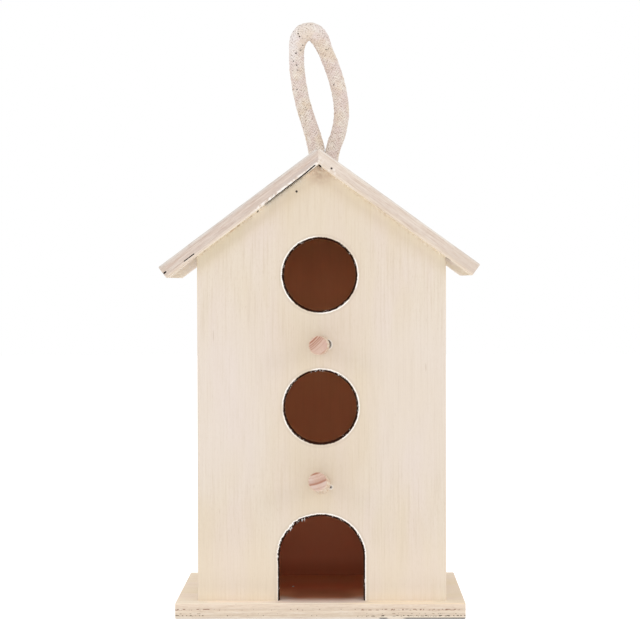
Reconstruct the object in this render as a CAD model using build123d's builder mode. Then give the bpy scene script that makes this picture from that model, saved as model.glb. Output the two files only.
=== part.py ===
from build123d import *
from math import atan, cos, degrees, pi, radians, sin, sqrt, tan
import os

# Plywood nest box with a gable roof, two round entrances with dowel perches,
# an arched doorway and a cotton rope loop at the ridge. Millimetres.
# Origin: on the base board's underside, below the middle of the base and walls to within 0.5 mm.
# +Z up, the front faces -Y.

# ---------------------------------------------------------------- dimensions
base_w = 146.0            # base board, side to side
base_x = -0.5             # its middle
base_d = 120.0            # base board, front to back
base_t = 8.1

ply = 7.0                 # wall and roof plywood
left_x, right_x = -62.5, 63.2     # outer faces of the side walls
front_y = -52.0           # outer face of the front wall
back_y = 54.5             # outer face of the back wall

ridge_x, ridge_z = -1.1, 237.0    # where the two upper roof faces would meet
left_pitch_deg, right_pitch_deg = 36.67, 35.93
board_len = 100.4         # both roof boards, from the ridge down the slope
roof_front_y = -58.0
roof_back_y = 54.5
ridge_blunt = 1.1         # the sharp ridge is planed off by this much
gable_gap = [(-33.0, 0.0), (-25.0, 0.15), (-15.0, 0.15), (-7.0, 0.2)]   # x, drop of the front wall
gable_gap_top = 0.2       # below the roof boards, which don't sit tight near the ridge
gap_end = [(0.3, 0.15), (1.0, 0.0)]
void_along, void_down = 85.1, 5.45    # gap in the left roof board's core, from the ridge and from above
void_len, void_w, void_deep = 6.6, 0.5, 1.6
end_void_along, end_void_down = 100.1, 4.2    # and a second one, open at the end cut
end_void_len, end_void_w = 3.4, 0.8

entrance_r = 18.15        # round entrances, 38 mm over the eased rims
upper_entrance_x, upper_entrance_z = -0.5, 173.0
lower_entrance_x, lower_entrance_z = -0.1, 106.1

door_w = 42.6             # arched doorway, 44.2 mm over the eased rim
door_x = 0.1
door_spring_z = 29.7      # height of the arch's centre

perch_r = 4.75            # 9.5 mm dowel
perch_out = 24.0          # stands this far out of the wall
perch_in = 4.0            # and this far into the box
upper_perch_x, upper_perch_z = -0.3, 137.4
lower_perch_x, lower_perch_z = 0.0, 67.1
upper_perch_rise, upper_perch_left = 1.6, 1.9    # degrees
lower_perch_rise, lower_perch_left = 8.2, 3.7
chip_deep = 1.6           # the drill broke the veneer beside each perch this deep

rope_r = 3.8              # 7.6 mm braided cotton rope
rope_y = -2.0
slot_clear = 0.25         # between rope and slot wall
left_leg_x, right_leg_x = -2.1, 5.6
pivot_z = 239.8           # the loop flops about this line
left_pivot_x, right_pivot_x = -2.4, 6.5
legs_top_z = pivot_z - rope_r - 0.35
knot_top_z = 218.5
knot_h, knot_r = 16.0, 12.5
tail_len = 7.8

brad_r, brad_len = 0.6, 17.0
head_r, head_t = 1.1, 0.6
ease = 0.35               # sanded edges
rim_ease = 0.8            # edges of the three openings

# ---------------------------------------------------------------- derived
left_pitch, right_pitch = radians(left_pitch_deg), radians(right_pitch_deg)
left_m, left_s, left_c = tan(left_pitch), sin(left_pitch), cos(left_pitch)
right_m, right_s, right_c = tan(right_pitch), sin(right_pitch), cos(right_pitch)
left_under = ridge_z - ply / left_c      # height of each underside below the ridge
right_under = ridge_z - ply / right_c
mitre_dx = (right_under - left_under) / (left_m + right_m)
mitre_x = ridge_x + mitre_dx             # where the two undersides meet
under_z = left_under + left_m * mitre_dx
left_eave = (ridge_x - board_len * left_c, ridge_z - board_len * left_s)      # upper edge of the end cut
right_eave = (ridge_x + board_len * right_c, ridge_z - board_len * right_s)
print("eaves", [round(v, 2) for v in left_eave + right_eave])
base_top = base_t
left_in, right_in = left_x + ply, right_x - ply
front_in_y = front_y + ply
back_in_y = back_y - ply


def under_at(x):
    """Height of the roof's underside."""
    return left_under + left_m * (x - ridge_x) if x < mitre_x else right_under - right_m * (x - ridge_x)


def in_left_board(along, down):
    """x, z of a place in the left roof board, from the ridge down the slope and below its upper face."""
    return (ridge_x - along * left_c + down * left_s, ridge_z - along * left_s - down * left_c)


os.makedirs("parts", exist_ok=True)


def right_brad_plane(along, y):
    """Head plane of a brad in the right roof board, `along` mm down from the ridge."""
    spot = (ridge_x + along * right_c, y, ridge_z - along * right_s)
    return Plane(origin=spot, x_dir=(0, 1, 0), z_dir=(right_s, 0, right_c))


def left_brad_plane(along, y):
    """The same in the left roof board."""
    spot = (ridge_x - along * left_c, y, ridge_z - along * left_s)
    return Plane(origin=spot, x_dir=(0, 1, 0), z_dir=(-left_s, 0, left_c))


gable_ys = (front_y + ply / 2, back_y - ply / 2)
roof_spots = (19.0, 43.0, 66.0)
right_brads = [right_brad_plane(a, y).location for y in gable_ys for a in roof_spots]
left_brads = [left_brad_plane(a, y).location for y in gable_ys for a in roof_spots]
roof_brad_locs = right_brads + left_brads

side_mids = (left_x + ply / 2, right_x - ply / 2)
back_brad_locs = [
    Plane(origin=(x, back_y, z), x_dir=(1, 0, 0), z_dir=(0, 1, 0)).location
    for x in side_mids
    for z in (30.0, 95.0, 160.0)
]
base_brad_spots = [(-38.0, gable_ys[0]), (38.0, gable_ys[0]), (-38.0, gable_ys[1]), (0.0, gable_ys[1]), (38.0, gable_ys[1])]
base_brad_spots += [(x, y) for x in side_mids for y in (-20.0, 24.0)]
base_brad_locs = [
    Plane(origin=(x, y, 0.2), x_dir=(1, 0, 0), z_dir=(0, 0, -1)).location for x, y in base_brad_spots
]


def perch_plane(x, z, rise, left, depth):
    """Plane across a perch. `depth` counts outwards from the wall's front face, along the perch."""
    out = Vector(-tan(radians(left)), -1, tan(radians(rise))).normalized()
    start = Vector(x, front_y, z) + out * depth
    return Plane(origin=start, x_dir=Vector(0, 0, 1).cross(out), z_dir=out)


upper_out = perch_plane(upper_perch_x, upper_perch_z, upper_perch_rise, upper_perch_left, -(ply + perch_in))
lower_out = perch_plane(lower_perch_x, lower_perch_z, lower_perch_rise, lower_perch_left, -(ply + perch_in))
perch_len = ply + perch_in + perch_out

# ---------------------------------------------------------------- base board
with BuildPart() as base_board:
    with BuildSketch(Plane.XY):
        with Locations((base_x, 0)):
            Rectangle(base_w, base_d)
    extrude(amount=base_t)
    chamfer(base_board.edges().group_by(Axis.Z)[-1], length=ease)
    chamfer(base_board.edges().group_by(Axis.Z)[0], length=ease)
    with Locations(*base_brad_locs):
        Cylinder(brad_r, brad_len, align=(Align.CENTER, Align.CENTER, Align.MAX), mode=Mode.SUBTRACT)
        Cylinder(head_r, 2 * head_t, mode=Mode.SUBTRACT)
base_board.part.label = "base_board"
export_step(base_board.part, "parts/base_board.step")

# ---------------------------------------------------------------- front wall
gap_points = [(x, under_at(x) - drop) for x, drop in gable_gap]
gap_end_points = [(x, under_at(x) - drop) for x, drop in gap_end]
with BuildPart() as front_wall:
    with BuildSketch(Plane.XZ.offset(-front_in_y)):
        with BuildLine():
            Polyline(
                (left_x, base_top), (left_x, under_at(left_x)), *gap_points, (mitre_x, under_z - gable_gap_top),
                *gap_end_points, (right_x, under_at(right_x)), (right_x, base_top), close=True,
            )
        make_face()
        with Locations((upper_entrance_x, upper_entrance_z), (lower_entrance_x, lower_entrance_z)):
            Circle(entrance_r, mode=Mode.SUBTRACT)
        with Locations((door_x, door_spring_z)):
            Circle(door_w / 2, mode=Mode.SUBTRACT)
        with Locations((door_x, (door_spring_z + base_top) / 2)):
            Rectangle(door_w, door_spring_z - base_top, mode=Mode.SUBTRACT)
    extrude(amount=ply)
    with BuildSketch(upper_out):
        Circle(perch_r)
    extrude(amount=perch_len, mode=Mode.SUBTRACT)
    with BuildSketch(lower_out):
        Circle(perch_r)
    extrude(amount=perch_len, mode=Mode.SUBTRACT)
    with BuildSketch(Plane.XZ.offset(-front_y - chip_deep)):
        with Locations((upper_perch_x + 2.85, upper_perch_z + 0.55)):
            Circle(2.6)
        with Locations((lower_perch_x + 4.85, lower_perch_z - 1.5)):
            Circle(0.45)
    extrude(amount=2 * chip_deep, mode=Mode.SUBTRACT)
    front_edges = front_wall.edges().filter_by_position(Axis.Y, front_y, front_y)
    rims = front_edges.filter_by(GeomType.CIRCLE).filter_by(lambda e: e.radius > 15)
    door_sides = front_edges.filter_by(Axis.Z).filter_by(lambda e: abs(e.center().X) < 30)
    chamfer(rims + door_sides, length=rim_ease)
    chamfer(
        front_wall.edges().filter_by(Axis.Z).filter_by_position(Axis.Y, front_y, front_y)
        .filter_by(lambda e: abs(e.center().X) > 60),
        length=ease,
    )
    with Locations(*base_brad_locs, *roof_brad_locs):
        Cylinder(brad_r, brad_len, align=(Align.CENTER, Align.CENTER, Align.MAX), mode=Mode.SUBTRACT)
front_wall.part.label = "front_wall"
export_step(front_wall.part, "parts/front_wall.step")

# ---------------------------------------------------------------- back wall
with BuildPart() as back_wall:
    with BuildSketch(Plane.XZ.offset(-back_y)):
        with BuildLine():
            Polyline(
                (left_x, base_top), (left_x, under_at(left_x)), (mitre_x, under_z), (right_x, under_at(right_x)),
                (right_x, base_top), close=True,
            )
        make_face()
    extrude(amount=ply)
    chamfer(
        back_wall.edges().filter_by(Axis.Z).filter_by_position(Axis.Y, back_y, back_y),
        length=ease,
    )
    with Locations(*base_brad_locs, *roof_brad_locs, *back_brad_locs):
        Cylinder(brad_r, brad_len, align=(Align.CENTER, Align.CENTER, Align.MAX), mode=Mode.SUBTRACT)
    with Locations(*back_brad_locs):
        Cylinder(head_r, 2 * head_t, mode=Mode.SUBTRACT)
back_wall.part.label = "back_wall"
export_step(back_wall.part, "parts/back_wall.step")

# ---------------------------------------------------------------- side walls
# Between front and back wall; the top edge is bevelled to the roof slope.
with BuildPart() as right_wall:
    with BuildSketch(Plane.XZ.offset(-back_in_y)):
        with BuildLine():
            Polyline(
                (right_in, base_top), (right_in, under_at(right_in)), (right_x, under_at(right_x)),
                (right_x, base_top), close=True,
            )
        make_face()
    extrude(amount=back_in_y - front_in_y)
    with Locations(*base_brad_locs, *back_brad_locs):
        Cylinder(brad_r, brad_len, align=(Align.CENTER, Align.CENTER, Align.MAX), mode=Mode.SUBTRACT)
right_wall.part.label = "right_wall"
export_step(right_wall.part, "parts/right_wall.step")

with BuildPart() as left_wall:
    with BuildSketch(Plane.XZ.offset(-back_in_y)):
        with BuildLine():
            Polyline(
                (left_in, base_top), (left_in, under_at(left_in)), (left_x, under_at(left_x)), (left_x, base_top),
                close=True,
            )
        make_face()
    extrude(amount=back_in_y - front_in_y)
    with Locations(*base_brad_locs, *back_brad_locs):
        Cylinder(brad_r, brad_len, align=(Align.CENTER, Align.CENTER, Align.MAX), mode=Mode.SUBTRACT)
left_wall.part.label = "left_wall"
export_step(left_wall.part, "parts/left_wall.step")

# ---------------------------------------------------------------- roof boards
# Mitred together at the ridge, ends cut square at the eaves. The rope slot is
# drilled down through the ridge, a little to the right, so each board has a part of it.
blunt_z = ridge_z - ridge_blunt
blunt_mitre = (ridge_x + mitre_dx * ridge_blunt / (ridge_z - under_z), blunt_z)
slot_r = rope_r + slot_clear
slot_mid_x = (left_leg_x + right_leg_x) / 2
slot_span = right_leg_x - left_leg_x

with BuildPart() as right_roof_board:
    with BuildSketch(Plane.XZ.offset(-roof_back_y)):
        with BuildLine():
            Polyline(
                (mitre_x, under_z), blunt_mitre, (ridge_x + ridge_blunt / right_m, blunt_z), right_eave,
                (right_eave[0] - ply * right_s, right_eave[1] - ply * right_c), close=True,
            )
        make_face()
    extrude(amount=roof_back_y - roof_front_y)
    eave_edges = right_roof_board.edges().filter_by(Axis.Y).filter_by(lambda e: e.center().X > 70)
    end_edges = right_roof_board.edges().filter_by(
        lambda e: abs(e.center().X - 40) < 10 and abs(e.tangent_at(0.5).Y) < 0.01
    )
    chamfer(eave_edges + end_edges, length=ease)
    with BuildSketch(Plane.XY.offset(under_z - 20)):
        with Locations((slot_mid_x, rope_y)):
            SlotCenterToCenter(slot_span, 2 * slot_r)
    extrude(amount=40, mode=Mode.SUBTRACT)
    with Locations(*right_brads):
        Cylinder(brad_r, brad_len, align=(Align.CENTER, Align.CENTER, Align.MAX), mode=Mode.SUBTRACT)
        Cylinder(head_r, 2 * head_t, mode=Mode.SUBTRACT)
right_roof_board.part.label = "right_roof_board"
export_step(right_roof_board.part, "parts/right_roof_board.step")

with BuildPart() as left_roof_board:
    with BuildSketch(Plane.XZ.offset(-roof_back_y)):
        with BuildLine():
            Polyline(
                (mitre_x, under_z), blunt_mitre, (ridge_x - ridge_blunt / left_m, blunt_z), left_eave,
                (left_eave[0] + ply * left_s, left_eave[1] - ply * left_c), close=True,
            )
        make_face()
    extrude(amount=roof_back_y - roof_front_y)
    eave_edges = left_roof_board.edges().filter_by(Axis.Y).filter_by(lambda e: e.center().X < -70)
    end_edges = left_roof_board.edges().filter_by(
        lambda e: abs(e.center().X + 41) < 10 and abs(e.tangent_at(0.5).Y) < 0.01
    )
    chamfer(eave_edges + end_edges, length=ease)
    with BuildSketch(Plane.XZ.offset(-roof_front_y)):
        with Locations(in_left_board(void_along, void_down)):
            SlotOverall(void_len, void_w, rotation=left_pitch_deg)
        with Locations(in_left_board(end_void_along, end_void_down)):
            SlotOverall(end_void_len, end_void_w, rotation=left_pitch_deg)
    extrude(amount=-void_deep, mode=Mode.SUBTRACT)
    with BuildSketch(Plane.XY.offset(under_z - 20)):
        with Locations((slot_mid_x, rope_y)):
            SlotCenterToCenter(slot_span, 2 * slot_r)
    extrude(amount=40, mode=Mode.SUBTRACT)
    with Locations(*left_brads):
        Cylinder(brad_r, brad_len, align=(Align.CENTER, Align.CENTER, Align.MAX), mode=Mode.SUBTRACT)
        Cylinder(head_r, 2 * head_t, mode=Mode.SUBTRACT)
left_roof_board.part.label = "left_roof_board"
export_step(left_roof_board.part, "parts/left_roof_board.step")

# ---------------------------------------------------------------- perches
with BuildPart() as upper_perch:
    with BuildSketch(upper_out):
        Circle(perch_r)
    extrude(amount=perch_len)
    chamfer(upper_perch.edges().filter_by(GeomType.CIRCLE).group_by(Axis.Y)[0], length=0.4)
upper_perch.part.label = "upper_perch"
export_step(upper_perch.part, "parts/upper_perch.step")

with BuildPart() as lower_perch:
    with BuildSketch(lower_out):
        Circle(perch_r)
    extrude(amount=perch_len)
    chamfer(lower_perch.edges().filter_by(GeomType.CIRCLE).group_by(Axis.Y)[0], length=0.4)
lower_perch.part.label = "lower_perch"
export_step(lower_perch.part, "parts/lower_perch.step")

# ---------------------------------------------------------------- rope
# The loop's route, from the left leg over the top to the right leg. The top is
# one tight fold, about one rope diameter in radius.
loop_route = [
    (left_pivot_x, rope_y, pivot_z),
    (-5.4, -2.3, 250.9),
    (-8.7, -2.8, 261.9),
    (-11.5, -3.2, 274.5),
    (-13.0, -3.0, 286.9),
    (-13.0, -2.6, 296.7),
    (-9.8, -2.3, 301.5),
    (-4.7, -2.0, 302.7),
    (0.0, -1.7, 299.8),
    (3.0, -1.3, 290.5),
    (6.7, -1.0, 279.7),
    (9.9, -1.0, 268.1),
    (11.3, -1.3, 256.9),
    (9.4, -1.7, 247.1),
    (right_pivot_x, rope_y, pivot_z),
]
vectors = [Vector(p) for p in loop_route]
runs = [(b - a).length for a, b in zip(vectors, vectors[1:])]
turns = [(b - a).get_angle(d - b) for a, b, d in zip(vectors, vectors[1:], vectors[2:])]
loop_radii = [
    0.45 * min(r0, r1) / tan(radians(turn) / 2) for r0, r1, turn in zip(runs, runs[1:], turns)
]
print("rope runs", [round(r, 1) for r in runs])
print("rope turns", [round(t, 1) for t in turns])
print("rope radii", [round(r, 1) for r in loop_radii])

with BuildPart() as rope_loop:
    with BuildLine() as loop_line:
        FilletPolyline(*loop_route, radius=loop_radii)
    with BuildSketch(Plane(origin=loop_line.line @ 0, z_dir=loop_line.line % 0)):
        Circle(rope_r)
    sweep()
    tube_volume = rope_loop.part.volume
    with Locations(loop_route[0], loop_route[-1]):
        Sphere(rope_r)
loop_length = loop_line.wires()[0].length
print("loop length", round(loop_length, 1), "tube volume", round(tube_volume), "section x length",
      round(pi * rope_r**2 * loop_length))
rope_loop.part.label = "rope_loop"
export_step(rope_loop.part, "parts/rope_loop.step")

# Both legs go down through the ridge slot and end in one knot under the roof.
with BuildPart() as rope_legs:
    with BuildSketch(Plane.XY.offset(knot_top_z)):
        with Locations((left_leg_x, rope_y), (right_leg_x, rope_y)):
            Circle(rope_r)
    extrude(amount=legs_top_z - knot_top_z)
rope_legs.part.label = "rope_legs"
export_step(rope_legs.part, "parts/rope_legs.step")

# The knot, a squat ball with flats where the legs enter and the tails leave.
with BuildPart() as rope_knot:
    with BuildSketch(Plane.XZ.offset(-rope_y)):
        with BuildLine():
            flat_r = rope_r + slot_span / 2 + 0.3
            Polyline(
                (slot_mid_x + flat_r, knot_top_z), (slot_mid_x, knot_top_z),
                (slot_mid_x, knot_top_z - knot_h), (slot_mid_x + flat_r, knot_top_z - knot_h),
            )
            ThreePointArc(
                (slot_mid_x + flat_r, knot_top_z - knot_h),
                (slot_mid_x + knot_r, knot_top_z - knot_h / 2),
                (slot_mid_x + flat_r, knot_top_z),
            )
        make_face()
    revolve(axis=Axis((slot_mid_x, rope_y, 0), (0, 0, 1)))
rope_knot.part.label = "rope_knot"
export_step(rope_knot.part, "parts/rope_knot.step")

with BuildPart() as rope_tails:
    with BuildSketch(Plane.XY.offset(knot_top_z - knot_h - tail_len)):
        with Locations((slot_mid_x - 4.2, rope_y), (slot_mid_x + 4.2, rope_y)):
            Circle(rope_r)
    extrude(amount=tail_len)
rope_tails.part.label = "rope_tails"
export_step(rope_tails.part, "parts/rope_tails.step")

# ---------------------------------------------------------------- brads
for group_name, group_locs in (
    ("roof_brads", roof_brad_locs),
    ("back_brads", back_brad_locs),
    ("base_brads", base_brad_locs),
):
    with BuildPart() as brads:
        with Locations(*group_locs):
            Cylinder(brad_r - 0.02, brad_len - 0.3, align=(Align.CENTER, Align.CENTER, Align.MAX))
            Cylinder(head_r - 0.02, head_t, align=(Align.CENTER, Align.CENTER, Align.MAX))
    brads.part.label = group_name
    export_step(brads.part, f"parts/{group_name}.step")

print("roof apex", round(ridge_z - ridge_blunt, 1), "loop top", round(rope_loop.part.bounding_box().max.Z, 1))
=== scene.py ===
import math

import bpy
import numpy as np
from mathutils import Matrix, Vector


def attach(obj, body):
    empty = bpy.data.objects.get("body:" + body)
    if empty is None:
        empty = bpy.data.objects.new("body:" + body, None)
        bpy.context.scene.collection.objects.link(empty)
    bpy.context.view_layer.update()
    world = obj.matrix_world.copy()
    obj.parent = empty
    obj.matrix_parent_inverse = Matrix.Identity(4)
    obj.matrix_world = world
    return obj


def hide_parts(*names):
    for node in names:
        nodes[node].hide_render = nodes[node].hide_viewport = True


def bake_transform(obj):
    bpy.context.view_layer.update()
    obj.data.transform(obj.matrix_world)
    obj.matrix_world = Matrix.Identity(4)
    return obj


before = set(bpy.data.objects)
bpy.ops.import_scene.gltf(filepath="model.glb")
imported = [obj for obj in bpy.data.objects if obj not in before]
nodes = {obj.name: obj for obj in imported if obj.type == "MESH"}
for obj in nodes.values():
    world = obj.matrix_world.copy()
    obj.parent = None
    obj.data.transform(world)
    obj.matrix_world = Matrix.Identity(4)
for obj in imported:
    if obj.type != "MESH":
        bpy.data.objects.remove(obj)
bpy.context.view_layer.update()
scene = bpy.context.scene
scene.view_settings.view_transform = "Standard"

# All geometry is in metres. Lengths in the shaders are millimetres, with heights counted from LEVEL
# above the base's underside.
LEVEL = 0.5
FRONT_Y, BACK_Y, PLY = -52.0, 54.5, 7.0
RIDGE_X, RIDGE_Z = -1.1, 236.5
LEFT_PITCH, RIGHT_PITCH = math.radians(36.67), math.radians(35.93)


# ------------------------------------------------------------------- camera
def make_camera():
    """Stands 1.14 m in front of the base, a little right of the middle, and looks slightly down."""
    yaw, tilt, roll = math.atan(20.8 / 2279.0), math.atan(39.6 / 2279.0), math.radians(0.12)
    ahead = Vector((-math.sin(yaw), math.cos(yaw), 0.0))
    right = Vector((math.cos(yaw), math.sin(yaw), 0.0))
    up = Vector((0.0, 0.0, 1.0))
    look = math.cos(tilt) * ahead - math.sin(tilt) * up
    top = math.cos(tilt) * up + math.sin(tilt) * ahead
    side = math.cos(roll) * right - math.sin(roll) * top
    top = math.cos(roll) * top + math.sin(roll) * right
    data = bpy.data.cameras.new("camera")
    data.sensor_width = 36.0
    data.lens = 2279.0 / 640.0 * 36.0
    data.clip_start, data.clip_end = 0.05, 30.0
    cam = bpy.data.objects.new("camera", data)
    scene.collection.objects.link(cam)
    turn = Matrix((side, top, -look)).transposed().to_4x4()
    cam.matrix_world = Matrix.Translation((0.0101, -1.203, 0.1702)) @ turn
    scene.camera = cam


make_camera()


# --------------------------------------------------------------------- rope
ROPE_R = 0.0038
loop_route = [
    (-0.0022, -0.0020, 0.2185),
    (-0.0022, -0.0020, 0.2305),
    (-0.0024, -0.0020, 0.2398),
    (-0.0057, -0.0023, 0.2509),
    (-0.0094, -0.0028, 0.2619),
    (-0.0120, -0.0032, 0.2745),
    (-0.0131, -0.0030, 0.2869),
    (-0.0126, -0.0026, 0.2960),
    (-0.0095, -0.0023, 0.3004),
    (-0.0050, -0.0020, 0.3015),
    (-0.0011, -0.0017, 0.2987),
    (0.0025, -0.0013, 0.2905),
    (0.0069, -0.0010, 0.2797),
    (0.0100, -0.0010, 0.2681),
    (0.0110, -0.0013, 0.2569),
    (0.0091, -0.0017, 0.2471),
    (0.0062, -0.0020, 0.2398),
    (0.0045, -0.0020, 0.2310),
    (0.0048, -0.0020, 0.2185),
]


def spline_points(route, fineness=40):
    """The points of the smooth line that has the route as its control points."""
    curve = bpy.data.curves.new("line", "CURVE")
    curve.dimensions = "3D"
    curve.resolution_u = fineness
    spline = curve.splines.new("NURBS")
    spline.points.add(len(route) - 1)
    for point, place in zip(spline.points, route):
        point.co = (*place, 1.0)
    spline.order_u = 3
    spline.use_endpoint_u = True
    spline.resolution_u = fineness
    holder = bpy.data.objects.new("line", curve)
    mesh = bpy.data.meshes.new_from_object(holder)
    points = np.array([v.co for v in mesh.vertices], float)
    bpy.data.objects.remove(holder)
    bpy.data.curves.remove(curve)
    bpy.data.meshes.remove(mesh)
    return points


def along_of(points):
    return np.concatenate([[0.0], np.cumsum(np.linalg.norm(np.diff(points, axis=0), axis=1))])


def unit(v):
    return v / np.maximum(np.linalg.norm(v, axis=-1, keepdims=True), 1e-12)


def carried_frames(points, first=(0.0, 1.0, 0.0)):
    """Tangents and two cross directions that don't twist along the line."""
    t = unit(np.gradient(points, axis=0))
    n = np.zeros_like(points)
    start = np.array(first, float)
    n[0] = unit(start - (start @ t[0]) * t[0])
    for k in range(1, len(points)):
        v = n[k - 1] - (n[k - 1] @ t[k]) * t[k]
        n[k] = v / np.linalg.norm(v)
    return t, n, np.cross(t, n)


class Soup:
    """Collects vertices, faces, a material number per face, a place along and around each strand,
    and how far each vertex stands out of the braid."""

    def __init__(self):
        self.verts, self.faces, self.slots, self.uv, self.relief = [], [], [], [], []
        self.count = 0

    def tube(self, rings, slot, u, v, relief, tag=0.0):
        """rings is (k, m, 3); u is (k,) along, v is (m,) around, relief is (k, m) or one number."""
        k, m = rings.shape[:2]
        base = self.count
        self.verts.append(rings.reshape(-1, 3))
        self.uv.append(np.stack(np.meshgrid(u, v, indexing="ij"), -1).reshape(-1, 2))
        self.relief.append(np.stack([np.broadcast_to(relief, (k, m)), np.full((k, m), tag)], -1).reshape(-1, 2))
        a = base + np.arange(k - 1)[:, None] * m + np.arange(m)[None, :]
        b = base + np.arange(k - 1)[:, None] * m + (np.arange(m)[None, :] + 1) % m
        quads = np.stack([a, b, b + m, a + m], -1).reshape(-1, 4)
        self.faces += quads.tolist()
        self.slots += [slot] * (len(quads) + 2)
        self.count += k * m
        self.faces.append(list(range(base, base + m))[::-1])
        self.faces.append(list(range(base + (k - 1) * m, base + k * m)))

    def mesh(self, name):
        data = bpy.data.meshes.new(name)
        data.from_pydata(np.concatenate(self.verts).tolist(), [], self.faces)
        loops = np.zeros(len(data.loops), np.int32)
        data.loops.foreach_get("vertex_index", loops)
        for layer_name, pairs in (("strand", self.uv), ("relief", self.relief)):
            layer = data.uv_layers.new(name=layer_name)
            layer.uv.foreach_set("vector", np.concatenate(pairs)[loops].astype(np.float32).ravel())
        data.polygons.foreach_set("material_index", np.array(self.slots, np.int32))
        data.polygons.foreach_set("use_smooth", np.ones(len(self.faces), bool))
        data.update()
        return data


def braid(soup, points, rng, radius=ROPE_R, per_way=14, pitch=0.0215, swell=None, flare=0.0, sides=8):
    """A tubular two-over-two braid of flat cotton yarns round a core, along the points."""
    s = along_of(points)
    t, n, b = carried_frames(points)
    swell = np.ones(len(points)) if swell is None else swell
    if flare:
        near_end = np.clip(1.0 - (s[-1] - s) / 0.0028, 0.0, 1.0)
        swell = swell * (1.0 + flare * near_end**2)
    rise = 0.00016
    wide = 1.03 * 2 * np.pi * 0.9 * radius / per_way * np.cos(np.arctan(2 * np.pi * 0.9 * radius / pitch))
    thick = 0.00074
    middle = radius - rise - thick / 2 + 0.00006
    psi = 2 * np.pi * np.arange(sides) / sides
    bulge = np.sign(np.sin(psi)) * np.abs(np.sin(psi)) ** 0.85
    for way in (1, -1):
        for i in range(per_way):
            slack = 1.0 + 0.10 * rng.standard_normal()
            width = wide * (1.0 + 0.06 * rng.standard_normal())
            knots = max(8, int(s[-1] / 0.005))
            wander = np.interp(s, np.linspace(0, s[-1], knots), rng.standard_normal(knots) * 0.040)
            angle = 2 * np.pi * i / per_way + way * 2 * np.pi * s / pitch + wander
            step = (2 * i + way * s * 2 * per_way / pitch) % 4
            up = np.tanh(1.8 * np.cos(2 * np.pi * (step - 0.5) / 4)) / np.tanh(1.8) * way
            lift = np.interp(s, np.linspace(0, s[-1], 2 * knots), rng.standard_normal(2 * knots) * 0.00008)
            r = (middle + rise * slack * up + lift) * swell
            out = np.cos(angle)[:, None] * n + np.sin(angle)[:, None] * b
            centre = points + r[:, None] * out
            course = unit(np.gradient(centre, axis=0))
            across = unit(np.cross(course, out))
            w = width / 2 * np.cos(psi)[None, :] * swell[:, None]
            h = thick / 2 * bulge[None, :] - w**2 / (2 * r[:, None])
            rings = centre[:, None, :] + w[..., None] * across[:, None, :] + h[..., None] * out[:, None, :]
            away = np.linalg.norm(rings - points[:, None, :], axis=-1) / swell[:, None]
            relief = np.clip((away - (radius - 0.00105)) / 0.00105, 0.0, 1.15)
            soup.tube(rings, 0, along_of(centre) * 1000.0, psi / (2 * np.pi) + rng.random() * 7.0, relief, rng.random())
    m = 16
    turn = 2 * np.pi * np.arange(m) / m
    core_r = (radius - 0.00058) * np.minimum(swell, 1.25)
    rings = points[:, None, :] + core_r[:, None, None] * (
        np.cos(turn)[None, :, None] * n[:, None, :] + np.sin(turn)[None, :, None] * b[:, None, :]
    )
    soup.tube(rings, 1, s * 1000.0, turn / (2 * np.pi), 0.0)


def hairs(soup, points, rng, number, radius=ROPE_R):
    """Loose cotton fibres that stand off the braid."""
    s = along_of(points)
    t, n, b = carried_frames(points)
    for _ in range(number):
        k = rng.integers(30, len(points) - 30)
        a = rng.random() * 2 * np.pi
        out = np.cos(a) * n[k] + np.sin(a) * b[k]
        sideways = np.cross(t[k], out)
        run = unit(t[k] * rng.normal() + sideways * rng.normal() * 0.8 + 1e-9)
        long = 0.0006 + 0.0013 * rng.random()
        stand = 0.00015 + 0.0004 * rng.random()
        q = np.linspace(0.0, 1.0, 5)[:, None]
        root = points[k] + out * (radius - 0.00022)
        path = root + run * long * q + out * stand * np.sin(q * math.pi * (0.6 + 0.5 * rng.random())) \
            - out * (long * q) ** 2 / (2 * radius) * 0.7
        ft, fn, fb = carried_frames(path, out + 0.1 * run)
        thin = 0.000022 * (1.0 - 0.7 * q[:, 0])
        turn = 2 * np.pi * np.arange(3) / 3
        rings = path[:, None, :] + thin[:, None, None] * (
            np.cos(turn)[None, :, None] * fn[:, None, :] + np.sin(turn)[None, :, None] * fb[:, None, :]
        )
        soup.tube(rings, 0, np.linspace(0, long * 1000, 5), turn, 1.0, rng.random())


def add(name, data, materials):
    ob = bpy.data.objects.new(name, data)
    scene.collection.objects.link(ob)
    for m in materials:
        data.materials.append(m)
    return ob


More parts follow.
